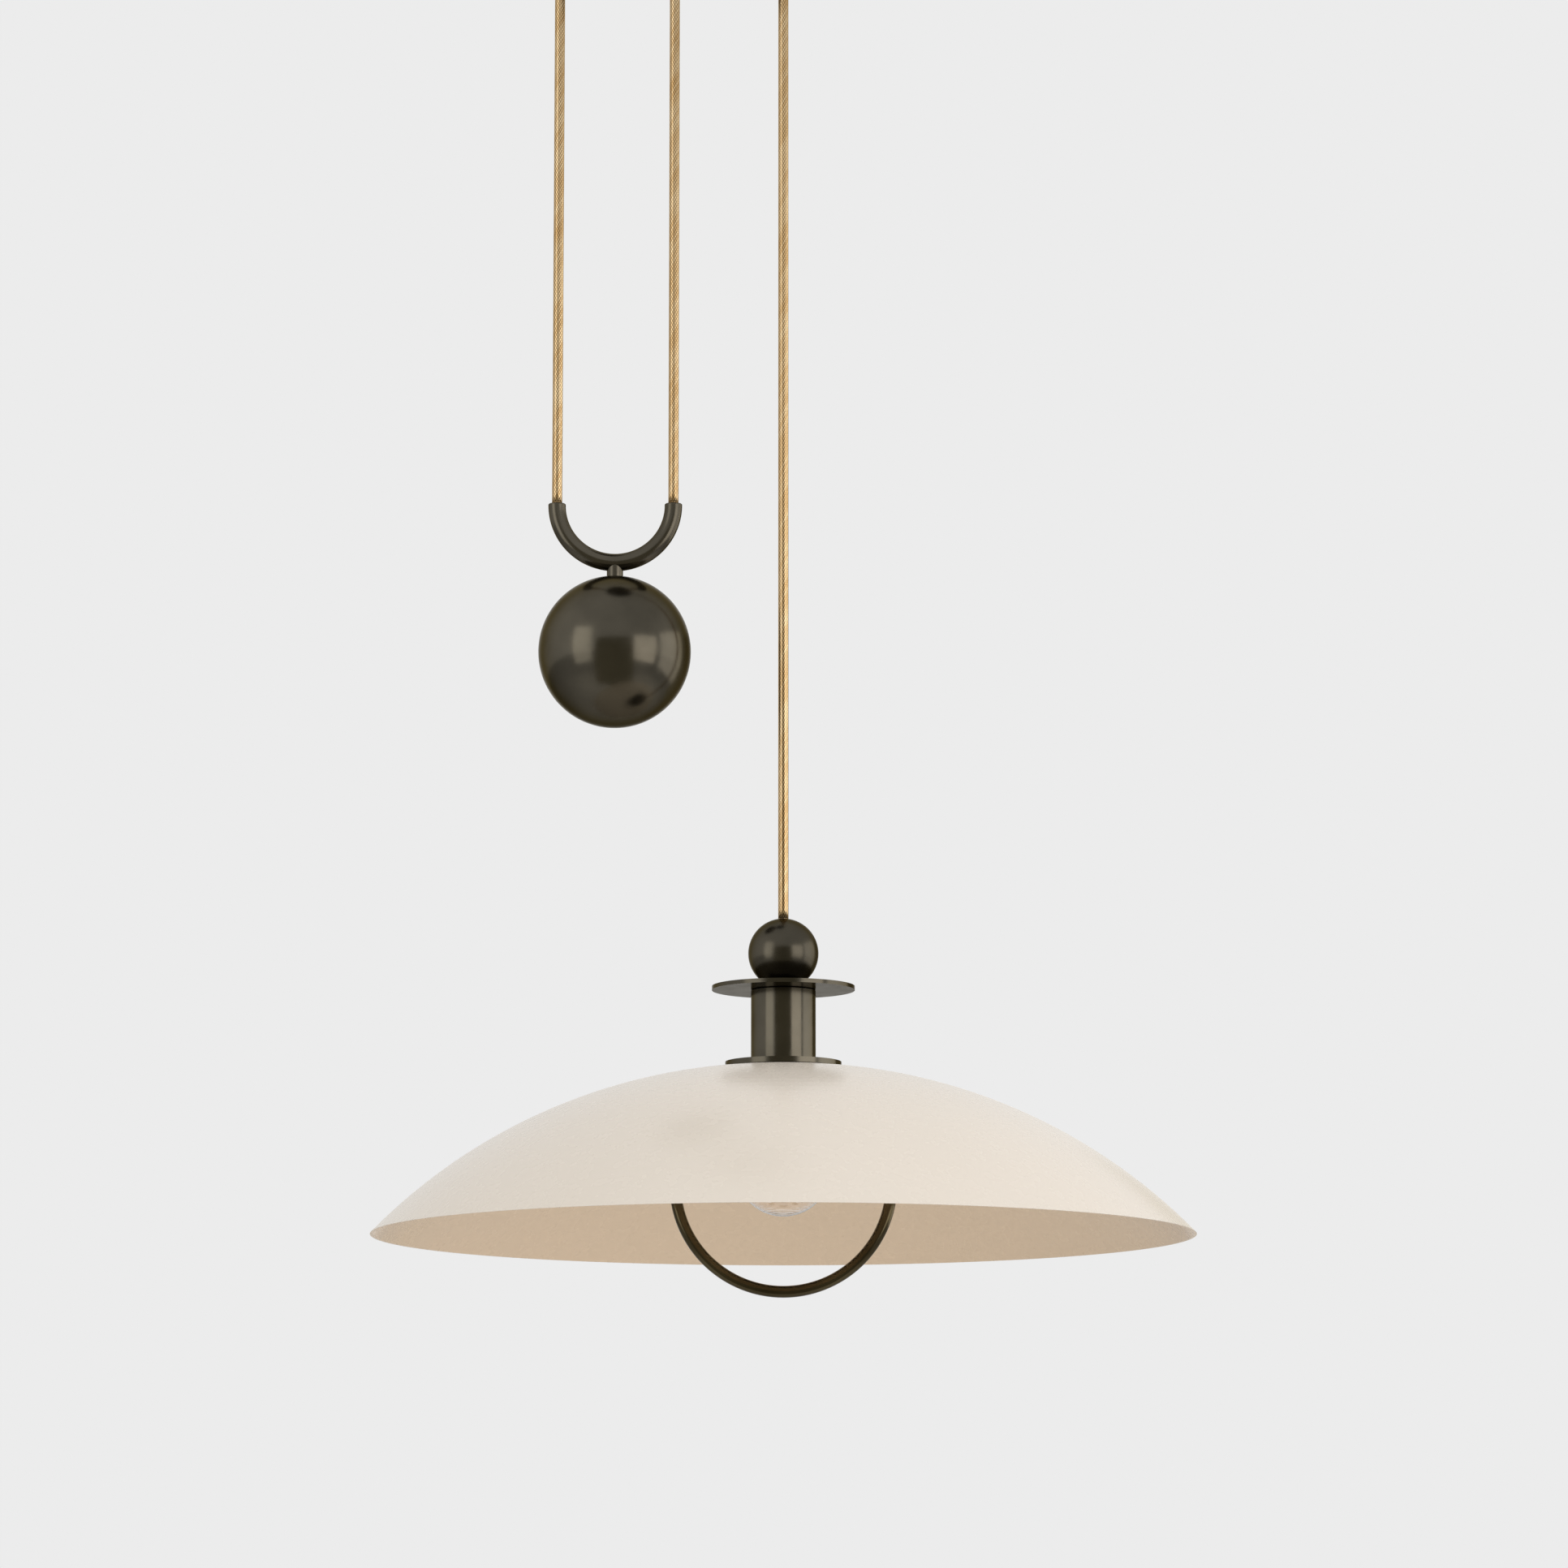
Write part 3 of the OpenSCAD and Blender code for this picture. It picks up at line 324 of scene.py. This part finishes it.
@dataclass(frozen=True)
class Braid:
    """A glossy yarn braid: two sets of flat strands that cross over and under round the cord.

    Attributes:
        strands: How many strands of each set lie round the cord.
        crossings: How many times the pattern repeats in a metre along it.
        threads: How many threads lie side by side in a strand.
    """

    name: str
    light: Colour
    dark: Colour
    # Painted shade: the dark brown put into the crevices between strands, where shade falls.
    painted_crevice_shade: Colour
    strands: int = 12
    crossings: float = 357.0
    threads: int = 4
    thread_height: float = 0.12
    pillow_power: float = 0.6
    painted_shade_power: float = 0.7
    drift_scale: float = 45.0
    drift_share: float = 0.5
    strand_share: float = 0.35
    depth: float = 2.5e-5
    metallic: float = 0.88
    roughness: float = 0.16
    rim: Colour = (0.6, 0.5, 0.36)

    def material(self) -> bpy.types.Material:
        """The finish as a node material. The cord's UV map runs once round it, and in metres along it."""
        graph = NodeGraph(self.name)
        uv = graph.add("ShaderNodeSeparateXYZ", {0: graph.coordinates.outputs["UV"]})
        turn = graph.maths("MULTIPLY", uv.outputs["X"], float(self.strands))
        run = graph.maths("MULTIPLY", uv.outputs["Y"], self.crossings)
        left, right = graph.maths("ADD", turn, run), graph.maths("SUBTRACT", turn, run)
        across = [graph.maths("FRACT", side) for side in (left, right)]
        swell = [graph.maths("SINE", graph.maths("MULTIPLY", part, math.pi)) for part in across]
        cells = graph.maths("ADD", graph.maths("FLOOR", left), graph.maths("FLOOR", right))
        over = graph.maths("MODULO", graph.maths("ABSOLUTE", cells), 2.0)
        pillow = graph.maths("POWER", graph.maths("MULTIPLY", *swell), self.pillow_power)
        twist = math.tau * self.threads
        twists = [graph.maths("COSINE", graph.maths("MULTIPLY", part, twist)) for part in across]
        thread = graph.add("ShaderNodeMix", {"Factor": over, 2: twists[1], 3: twists[0]}).outputs[0]
        height = graph.maths("MULTIPLY_ADD", thread, self.thread_height, pillow)
        drift = graph.spread(graph.noise(graph.about(ORIGIN), self.drift_scale), 0.0, 1.0)
        own = graph.add("ShaderNodeTexWhiteNoise", {"W": graph.maths("FLOOR", left)}, noise_dimensions="1D")
        strand = graph.spread(own.outputs[0], 0.0, self.strand_share)
        yarn_tone = graph.blend(graph.maths("MULTIPLY_ADD", drift, self.drift_share, strand), self.light, self.dark)
        # Painted shade: the low parts between strands are darkened towards the dark brown of the crevices.
        colour = graph.blend(graph.maths("POWER", pillow, self.painted_shade_power), self.painted_crevice_shade, yarn_tone)
        graph.relief(height, self.depth)
        return graph.surface(
            Base_Color=colour,
            Metallic=self.metallic,
            Roughness=self.roughness,
            Specular_Tint=self.rim,
        )


@dataclass(frozen=True)
class Moulded:
    """A moulded or fired surface: plastic, fibre, rubber or porcelain."""

    name: str
    colour: Colour
    roughness: float = 0.45
    wipe: float = 0.04
    wipe_scale: float = 240.0
    patch_scale: float = 60.0
    patch_tone: float = 0.86
    pores: float = 1400.0
    depth: float = 1e-5
    coat: float = 0.0
    coat_roughness: float = 0.08

    def material(self) -> bpy.types.Material:
        """The finish as a node material."""
        graph = NodeGraph(self.name)
        spot = graph.about(ORIGIN)
        patch = graph.spread(graph.noise(spot, self.patch_scale), 0.0, 1.0)
        colour = graph.blend(patch, self.colour, dimmed(self.colour, self.patch_tone))
        graph.relief(graph.noise(spot, self.pores, detail=2.0), self.depth)
        wipe = graph.noise(spot, self.wipe_scale, detail=2.0)
        return graph.surface(
            Base_Color=colour,
            Roughness=graph.spread(wipe, self.roughness - self.wipe, self.roughness + self.wipe),
            Coat_Weight=self.coat,
            Coat_Roughness=self.coat_roughness,
        )


@dataclass(frozen=True)
class ClearGlass:
    """Thin blown glass with slow waves in its surface."""

    name: str
    tint: Colour
    wave_scale: float = 30.0
    wave_share: float = 0.04
    wave_tone: float = 0.8
    wave_depth: float = 4e-6
    refraction: float = 1.45

    def material(self) -> bpy.types.Material:
        """The finish as a node material."""
        graph = NodeGraph(self.name)
        wave = graph.noise(graph.about(DOME_MIDDLE), self.wave_scale, detail=1.0)
        colour = graph.blend(graph.spread(wave, 0.0, self.wave_share), self.tint, dimmed(self.tint, self.wave_tone))
        graph.relief(wave, self.wave_depth)
        return graph.surface(Base_Color=colour, Roughness=0.0, IOR=self.refraction, Transmission_Weight=1.0)


Finish = Metal | SatinPaint | Braid | Moulded | ClearGlass

FINE_GRAIN = 2e-6


def bronze(name: str, roughness: float, **options: object) -> Metal:
    """The pendant's dark bronze, with a roughness and a grain of its own."""
    dark, light, rim = tone(73, 69, 60), tone(93, 88, 77), (0.46, 0.43, 0.37)
    return Metal(name, dark, light, roughness=roughness, rim=rim, **options)


TURNED_BRONZE = bronze("turned_bronze", 0.17)
BALL_BRONZE = bronze("ball_bronze", 0.25, grain_depth=FINE_GRAIN)
WEIGHT_BRONZE = bronze("weight_bronze", 0.2, axis=GUIDE_X, grain_depth=FINE_GRAIN)
CANOPY_BRONZE = bronze("canopy_bronze", 0.28, axis=0.0)
DRAWN_BRONZE = bronze("drawn_bronze", 0.22, grain=Grain.DRAWN, grain_depth=FINE_GRAIN)
RING_BRONZE = Metal(
    "ring_bronze", tone(68, 60, 42), tone(90, 81, 60), roughness=0.14, grain=Grain.DRAWN, grain_depth=FINE_GRAIN
)
# The second colour is painted shade: the inside of the dome, darker and warmer than the one coat of cream paint.
CREAM_PAINT = SatinPaint("cream_paint", tone(233, 224, 212), tone(219, 197, 170))
# The third colour is painted shade for the crevices between strands.
GOLD_BRAID = Braid("gold_braid", tone(234, 208, 164), tone(196, 156, 100), tone(70, 46, 20))
ZINC_STEEL = Metal("zinc_steel", tone(170, 172, 174), tone(196, 198, 200), roughness=0.38, grain=Grain.ROLLED)
DARK_STEEL = Metal("dark_steel", tone(50, 50, 52), tone(72, 72, 74), roughness=0.35, grain=Grain.DRAWN)
YELLOW_BRASS = Metal("yellow_brass", tone(206, 170, 98), tone(226, 194, 124))
BEARING_BRONZE = Metal("bearing_bronze", tone(166, 112, 70), tone(190, 136, 92), roughness=0.4)
WHITE_NYLON = Moulded("white_nylon", tone(232, 230, 224), roughness=0.5)
BLACK_NYLON = Moulded("black_nylon", tone(34, 33, 32), roughness=0.48)
LEAD_SLEEVE = Moulded("lead_sleeve", tone(120, 84, 58), roughness=0.4)
FIBRE = Moulded("fibre", tone(70, 58, 48), roughness=0.8, pores=900.0, depth=4e-5)
PORCELAIN = Moulded("porcelain", tone(238, 236, 230), roughness=0.25, coat=0.6, pores=200.0, depth=6e-6)
LAMP_GLASS = ClearGlass("lamp_glass", (1.0, 0.975, 0.95))
TUNGSTEN = Metal("tungsten", tone(96, 94, 92), tone(140, 138, 136), roughness=0.4, grain=Grain.DRAWN)


def placed(bm: bmesh.types.BMesh, name: str, finish: bpy.types.Material) -> bpy.types.Object:
    """Turns a bmesh into an object in the scene.

    Args:
        bm: The shape, in place in the pendant's frame. It is freed.
        name: The object's name.
        finish: Its material.

    Returns:
        The object.
    """
    mesh = bpy.data.meshes.new(name)
    bm.to_mesh(mesh)
    bm.free()
    mesh.materials.append(finish)
    made = bpy.data.objects.new(name, mesh)
    bpy.context.scene.collection.objects.link(made)
    return made


@dataclass
class Cord:
    """The pendant's one cord, as the stretches that move apart from each other."""

    radius: float = 0.0032
    sides: int = 24
    step: float = 0.006
    least_rings: int = 2
    turn_steps: int = 40
    path_steps: int = 40
    anchor_x: float = -0.071
    riser_x: float = 0.002
    guide_radius: float = 0.0365
    pulley_x: float = 0.0365
    pulley_z: float = -0.0495
    pulley_radius: float = 0.0345
    clamp_z: float = -0.0625
    sheath_top: float = -0.0365
    mouth_z: float = field(default_factory=lambda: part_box("looped_cord")[1].z)
    mouth_h: float = 0.001
    ball_top: float = field(default_factory=lambda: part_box("lamp_cord")[0].z)
    holder_end: float = field(default_factory=lambda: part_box("holder_cord")[0].z)
    braid: bpy.types.Material = field(default_factory=GOLD_BRAID.material)
    run: float = field(default=0.0, init=False)

    def wrap(self, bm: bmesh.types.BMesh, place: Callable[[Vector], tuple[float, float]], length: float) -> None:
        """Gives a stretch its UV map: once round the cord, and in metres from the cord's start.

        Args:
            bm: The stretch.
            place: Gives a point's angle round the cord, and its distance along the stretch.
            length: The stretch's length, added to the cord's run.
        """
        layer = bm.loops.layers.uv.new("UVMap")
        for face in bm.faces:
            spots = [place(loop.vert.co) for loop in face.loops]
            middle = spots[0][0]
            for loop, (angle, along) in zip(face.loops, spots):
                angle = middle + (angle - middle + math.pi) % math.tau - math.pi
                loop[layer].uv = (angle / math.tau, self.run + along)
        self.run += length

    def ring(self, centre: Vector) -> bmesh.types.BMesh:
        """Starts a stretch with one level ring of its surface.

        Args:
            centre: The ring's middle.

        Returns:
            The stretch, with that ring alone.
        """
        bm = bmesh.new()
        place = Matrix.Translation(centre)
        bmesh.ops.create_circle(bm, segments=self.sides, radius=self.radius, cap_ends=False, matrix=place)
        return bm

    def straight(self, x: float, z_start: float, z_end: float, facing: float) -> bmesh.types.BMesh:
        """A straight stretch, extruded ring by ring from a circle.

        Args:
            x: Where it hangs.
            z_start: The end nearer the cord's start.
            z_end: The other end.
            facing: The side, 1 or -1, that the braid's seam faces.

        Returns:
            The stretch.
        """
        span = z_end - z_start
        rings = max(self.least_rings, round(abs(span) / self.step))
        bm = self.ring(Vector((x, 0.0, z_start)))
        edges = list(bm.edges)
        for _ in range(rings):
            grown = bmesh.ops.extrude_edge_only(bm, edges=edges)["geom"]
            verts = [part for part in grown if isinstance(part, bmesh.types.BMVert)]
            bmesh.ops.translate(bm, verts=verts, vec=(0.0, 0.0, span / rings))
            edges = [part for part in grown if isinstance(part, bmesh.types.BMEdge)]
        self.wrap(bm, lambda p: (math.atan2(p.y, facing * (p.x - x)), abs(p.z - z_start)), abs(span))
        return self.closed(bm)

    def bend(self, centre: Vector, radius: float, upper: bool, facing: float) -> bmesh.types.BMesh:
        """A half turn of cord, spun from a circle, that starts on the left.

        Args:
            centre: The middle of the turn.
            radius: The turn's radius.
            upper: Whether it passes over its middle, or under it.
            facing: The side, 1 or -1, that the braid's seam faces.

        Returns:
            The stretch.
        """
        bm = self.ring(centre - Vector((radius, 0.0, 0.0)))
        lift = 1.0 if upper else -1.0
        bmesh.ops.spin(
            bm,
            geom=list(bm.verts) + list(bm.edges),
            cent=centre,
            axis=(0.0, 1.0, 0.0),
            angle=lift * math.pi,
            steps=self.turn_steps,
            use_duplicate=False,
        )

        def place(point: Vector) -> tuple[float, float]:
            """A point's angle round the cord, and its distance along the turn."""
            side = point - centre
            out = math.hypot(side.x, side.z) - radius
            return math.atan2(side.y, -facing * out), radius * math.atan2(lift * side.z, -side.x)

        self.wrap(bm, place, math.pi * radius)
        return self.closed(bm)

    def closed(self, bm: bmesh.types.BMesh) -> bmesh.types.BMesh:
        """Closes a stretch's two ends and turns its faces outwards.

        Args:
            bm: The stretch, with its UV map.

        Returns:
            The same stretch.
        """
        open_edges = [edge for edge in bm.edges if edge.is_boundary]
        ends = bmesh.ops.holes_fill(bm, edges=open_edges, sides=self.sides)["faces"]
        layer = bm.loops.layers.uv.active
        for face in ends:
            for loop in face.loops:
                side = next(other for other in loop.vert.link_loops if other.face not in ends)
                loop[layer].uv = side[layer].uv
        bmesh.ops.recalc_face_normals(bm, faces=bm.faces)
        return bm

    def piece(self, bm: bmesh.types.BMesh, node: str, body: str | None = None) -> bpy.types.Object:
        """Turns a stretch into a smooth piece that stands for its plain solid.

        Args:
            bm: The stretch. It is freed.
            node: The plain solid that it stands for.
            body: The body that it rides on, or None, where it is left on no body.

        Returns:
            The object.
        """
        piece = placed(bm, f"braided_{node}", self.braid)
        piece.data.shade_smooth()
        if body:
            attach(piece, body)
        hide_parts(node)
        log.info("%s: %d faces", piece.name, len(piece.data.polygons))
        return piece

    def fall(self, node: str, x: float, z_start: float, z_end: float, facing: float) -> None:
        """Makes a free stretch that hangs taut from the ceiling fitting to a body below.

        Args:
            node: The plain solid that it stands for.
            x: Where it hangs.
            z_start: The end nearer the cord's start.
            z_end: The other end.
            facing: The side, 1 or -1, that the braid's seam faces.
        """
        upper, lower = (Vector((x, 0.0, z)) for z in (max(z_start, z_end), min(z_start, z_end)))
        piece = self.piece(self.straight(x, z_start, z_end, facing), node)
        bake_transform(piece)

    def build(self) -> None:
        """Makes every stretch, in the order in which the cord runs."""
        guide = Vector((self.anchor_x + self.guide_radius, 0.0, self.mouth_z - self.mouth_h))
        wheel = Vector((self.pulley_x, 0.0, self.pulley_z))
        self.piece(self.straight(self.anchor_x, self.sheath_top, self.clamp_z, 1.0), "clamped_cord", CEILING)
        self.fall("anchored_cord", self.anchor_x, self.clamp_z, self.mouth_z, 1.0)
        self.run += self.mouth_h
        self.piece(self.bend(guide, self.guide_radius, False, 1.0), "looped_cord", WEIGHT)
        self.run += self.mouth_h
        self.fall("riser_cord", self.riser_x, self.mouth_z, self.pulley_z, -1.0)
        self.piece(self.bend(wheel, self.pulley_radius, True, -1.0), "cord_over_pulley", CEILING)
        self.fall("lamp_cord", LAMP_X, self.pulley_z, self.ball_top, 1.0)
        self.piece(self.straight(LAMP_X, self.ball_top, self.holder_end, 1.0), "holder_cord", LAMP)


@dataclass
class Metalwork:
    """The plain solids whose shape is right, and the finish that each one gets."""

    finishes: dict[str, Finish] = field(
        default_factory=lambda: {
            "ceiling_plate": ZINC_STEEL,
            "canopy_cover": CANOPY_BRONZE,
            "canopy_screws": CANOPY_BRONZE,
            "anchor_cord_bushing": BLACK_NYLON,
            "riser_cord_bushing": BLACK_NYLON,
            "lamp_cord_bushing": BLACK_NYLON,
            "pulley_yoke": ZINC_STEEL,
            "bracket_screws": ZINC_STEEL,
            "pulley_axle": ZINC_STEEL,
            "axle_clip": ZINC_STEEL,
            "thrust_washers": BEARING_BRONZE,
            "pulley_wheel": YELLOW_BRASS,
            "pulley_bush": BEARING_BRONZE,
            "anchor_bracket": ZINC_STEEL,
            "clamp_base": WHITE_NYLON,
            "clamp_cap": WHITE_NYLON,
            "clamp_screws": ZINC_STEEL,
            "terminal_block": WHITE_NYLON,
            "terminal_screws": YELLOW_BRASS,
            "block_screw": ZINC_STEEL,
            "earth_screw": YELLOW_BRASS,
            "canopy_leads": LEAD_SLEEVE,
            "cord_guide": DRAWN_BRONZE,
            "guide_liner": WHITE_NYLON,
            "weight_stem": WEIGHT_BRONZE,
            "weight_ball": WEIGHT_BRONZE,
            "cord_ball": BALL_BRONZE,
            "ball_grommet": BLACK_NYLON,
            "grip_screw": DARK_STEEL,
            "top_disc": TURNED_BRONZE,
            "threaded_nipple": YELLOW_BRASS,
            "lock_nut": YELLOW_BRASS,
            "neck_cap": TURNED_BRONZE,
            "neck_tube": TURNED_BRONZE,
            "shade_flange": TURNED_BRONZE,
            "shade": CREAM_PAINT,
            "shade_gasket": FIBRE,
            "handle_collar": TURNED_BRONZE,
            "handle_ring": RING_BRONZE,
            "handle_screws": DARK_STEEL,
            "lampholder_cap": YELLOW_BRASS,
            "lampholder_body": PORCELAIN,
            "screw_shell": YELLOW_BRASS,
            "centre_contact": YELLOW_BRASS,
            "holder_leads": LEAD_SLEEVE,
            "bulb_glass": LAMP_GLASS,
            "bulb_cap": YELLOW_BRASS,
            "bulb_contact": BLACK_NYLON,
            "bulb_stem": LAMP_GLASS,
            "filament": TUNGSTEN,
        }
    )

    def dress(self) -> None:
        """Puts each finish on its solids."""
        made: dict[str, bpy.types.Material] = {}
        for node, finish in self.finishes.items():
            if finish.name not in made:
                made[finish.name] = finish.material()
            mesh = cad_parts[node].data
            mesh.materials.clear()
            mesh.materials.append(made[finish.name])
            log.info("%s: %s", node, finish.name)


def towards_pendant(place: Point) -> Quaternion:
    """The turn that makes a light or a card at a place face the pendant's middle."""
    return (Vector(PENDANT_MIDDLE) - Vector(place)).to_track_quat("-Z", "Y")


@dataclass(frozen=True)
class Softbox:
    """A soft rectangular light that faces the pendant.

    Attributes:
        place: Where it stands, in metres.
        size: Its width and height, in metres.
        power: Its power, in watts.
        mirrored: Whether the metal mirrors it.
    """

    name: str
    place: Point
    size: tuple[float, float]
    power: float
    colour: Colour
    mirrored: bool = True

    def build(self) -> None:
        """Makes the light."""
        light = bpy.data.lights.new(self.name, "AREA")
        light.shape = "RECTANGLE"
        light.size, light.size_y = self.size
        light.energy = self.power
        light.color = self.colour
        lamp = bpy.data.objects.new(self.name, light)
        lamp.location = self.place
        lamp.rotation_euler = towards_pendant(self.place).to_euler()
        lamp.visible_camera = False
        lamp.visible_glossy = self.mirrored
        bpy.context.scene.collection.objects.link(lamp)


@dataclass(frozen=True)
class Card:
    """A dim, warm card that only the metal's reflections see.

    Attributes:
        place: Its middle, in metres.
        size: Its width and height, in metres.
        level: How bright it is, where 1 is as bright as the glow's own colour.
    """

    name: str
    place: Point
    size: tuple[float, float]
    level: float
    glow: Colour = (1.0, 0.93, 0.7)

    def build(self) -> None:
        """Makes the card."""
        graph = NodeGraph(self.name)
        finish = graph.surface(
            Base_Color=BLACK,
            Roughness=1.0,
            Specular_IOR_Level=0.0,
            Emission_Color=self.glow,
            Emission_Strength=self.level,
        )
        turned = Matrix.Translation(self.place) @ towards_pendant(self.place).to_matrix().to_4x4()
        bm = bmesh.new()
        bmesh.ops.create_grid(bm, x_segments=1, y_segments=1, size=0.5)
        bmesh.ops.scale(bm, verts=bm.verts, vec=(*self.size, 1.0))
        bmesh.ops.transform(bm, verts=bm.verts, matrix=turned)
        card = placed(bm, self.name, finish)
        card.visible_camera = card.visible_diffuse = card.visible_shadow = card.visible_transmission = False


SOFTBOXES = (
    Softbox("left_softbox", (-1.85, -1.6, -0.42), (1.3, 2.2), 9.8, (1.0, 0.98, 0.93)),
    Softbox("left_fill", (-1.85, -1.6, 0.0), (1.3, 1.9), 7.4, (1.0, 0.97, 0.9), mirrored=False),
    Softbox("right_softbox", (1.815, -1.598, -0.65), (1.58, 1.6), 14.1, (1.0, 0.96, 0.92)),
    Softbox("right_fill", (1.9, -1.5, 0.0), (1.8, 1.9), 3.5, (1.0, 0.97, 0.95), mirrored=False),
    Softbox("top_softbox", (0.3, -0.6, 1.6), (2.4, 2.4), 22.0, (1.0, 0.99, 0.96), mirrored=False),
    Softbox("floor_softbox", (0.05, -0.2, -2.2), (2.4, 2.4), 8.5, (1.0, 0.97, 0.93), mirrored=False),
    Softbox("side_softbox", (2.381, 0.395, -0.6), (2.2, 2.0), 18.0, (1.0, 0.98, 0.96)),
)
CARDS = (
    Card("front_card", (0.0, -1.4, -1.22), (1.74, 2.3), 0.3),
    Card("edge_card", (1.68, 2.29, -0.9), (2.0, 2.4), 0.45),
)


@dataclass
class Studio:
    """The surround, the floor, the lights, the cards that only the metal mirrors, and the camera.

    Attributes:
        pale: The surround's colour.
        fill: How much of the surround lights what isn't mirrored or looked through.
        clear_glow, glossy_glow: The floor's own glow, as the camera and glass see it, and as metal mirrors it.
        eye_drop: How far the camera stands below the shade's rim.
        pitch: How far the camera looks up, in degrees.
    """

    pale: Colour = field(default_factory=lambda: tone(236, 236, 236))
    fill: float = 0.5
    floor_z: float = -2.35
    floor_radius: float = 14.0
    floor_sides: int = 64
    floor_light: Colour = field(default_factory=lambda: tone(232, 232, 232))
    floor_dark: Colour = field(default_factory=lambda: tone(228, 228, 228))
    floor_patch_scale: float = 0.8
    floor_roughness: float = 0.85
    floor_specular: float = 0.1
    clear_glow: float = 0.24
    glossy_glow: float = 0.05
    eye_x: float = 0.0714
    eye_y: float = -3.6
    eye_drop: float = 0.2745
    pitch: float = 8.78
    lens: float = 134.26
    sensor_width: float = 36.0
    clip_end: float = 60.0

    def world(self) -> None:
        """A pale surround, which the camera, metal and glass see whole, and which lights the rest more softly."""
        world = bpy.data.worlds.new("studio")
        world.use_nodes = True
        bpy.context.scene.world = world
        nodes, links = world.node_tree.nodes, world.node_tree.links
        paths = nodes.new("ShaderNodeLightPath").outputs
        clear, seen = nodes.new("ShaderNodeMath"), nodes.new("ShaderNodeMath")
        clear.operation = seen.operation = "MAXIMUM"
        strength = nodes.new("ShaderNodeMapRange")
        strength.inputs["To Min"].default_value = self.fill
        strength.inputs["To Max"].default_value = 1.0
        backdrop = nodes["Background"]
        backdrop.inputs["Color"].default_value = (*self.pale, 1.0)
        for output, socket in (
            (paths["Is Camera Ray"], clear.inputs[0]),
            (paths["Is Transmission Ray"], clear.inputs[1]),
            (clear.outputs[0], seen.inputs[0]),
            (paths["Is Glossy Ray"], seen.inputs[1]),
            (seen.outputs[0], strength.inputs["Value"]),
            (strength.outputs[0], backdrop.inputs["Strength"]),
        ):
            links.new(output, socket)

    def floor(self) -> None:
        """A wide pale floor far below the lamp, with a faint glow that only the camera, glass and metal see."""
        graph = NodeGraph("pale_floor")
        patch = graph.spread(graph.noise(graph.about(ORIGIN), self.floor_patch_scale, detail=2.0), 0.0, 1.0)
        colour = graph.blend(patch, self.floor_light, self.floor_dark)
        paths = graph.add("ShaderNodeLightPath").outputs
        clear = graph.maths("MAXIMUM", paths["Is Camera Ray"], paths["Is Transmission Ray"])
        looked_at = graph.maths("MULTIPLY", clear, self.clear_glow)
        finish = graph.surface(
            Base_Color=colour,
            Roughness=self.floor_roughness,
            Specular_IOR_Level=self.floor_specular,
            Emission_Color=WHITE,
            Emission_Strength=graph.maths("MULTIPLY_ADD", paths["Is Glossy Ray"], self.glossy_glow, looked_at),
        )
        bm = bmesh.new()
        place = Matrix.Translation((0.0, 0.0, self.floor_z))
        bmesh.ops.create_circle(bm, cap_ends=True, segments=self.floor_sides, radius=self.floor_radius, matrix=place)
        placed(bm, "studio_floor", finish)

    def camera(self) -> None:
        """The camera at the photograph's viewing angle."""
        data = bpy.data.cameras.new("photo_camera")
        data.lens = self.lens
        data.sensor_width = self.sensor_width
        data.clip_end = self.clip_end
        camera = bpy.data.objects.new("photo_camera", data)
        camera.location = (self.eye_x, self.eye_y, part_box("shade")[0].z - self.eye_drop)
        camera.rotation_euler = (math.radians(90.0 + self.pitch), 0.0, 0.0)
        bpy.context.scene.collection.objects.link(camera)
        bpy.context.scene.camera = camera

    def build(self) -> None:
        """Makes the whole studio."""
        self.world()
        self.floor()
        for stand in (*SOFTBOXES, *CARDS):
            stand.build()
        self.camera()
        bpy.context.scene.view_settings.view_transform = "Standard"
        log.info("studio: ready")


def main() -> None:
    """Builds the studio, the cord and the finishes."""
    logging.basicConfig(level=logging.INFO, format="%(name)s: %(message)s")
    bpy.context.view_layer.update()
    Studio().build()
    Cord().build()
    Metalwork().dress()


if __name__ == "__main__":
    main()
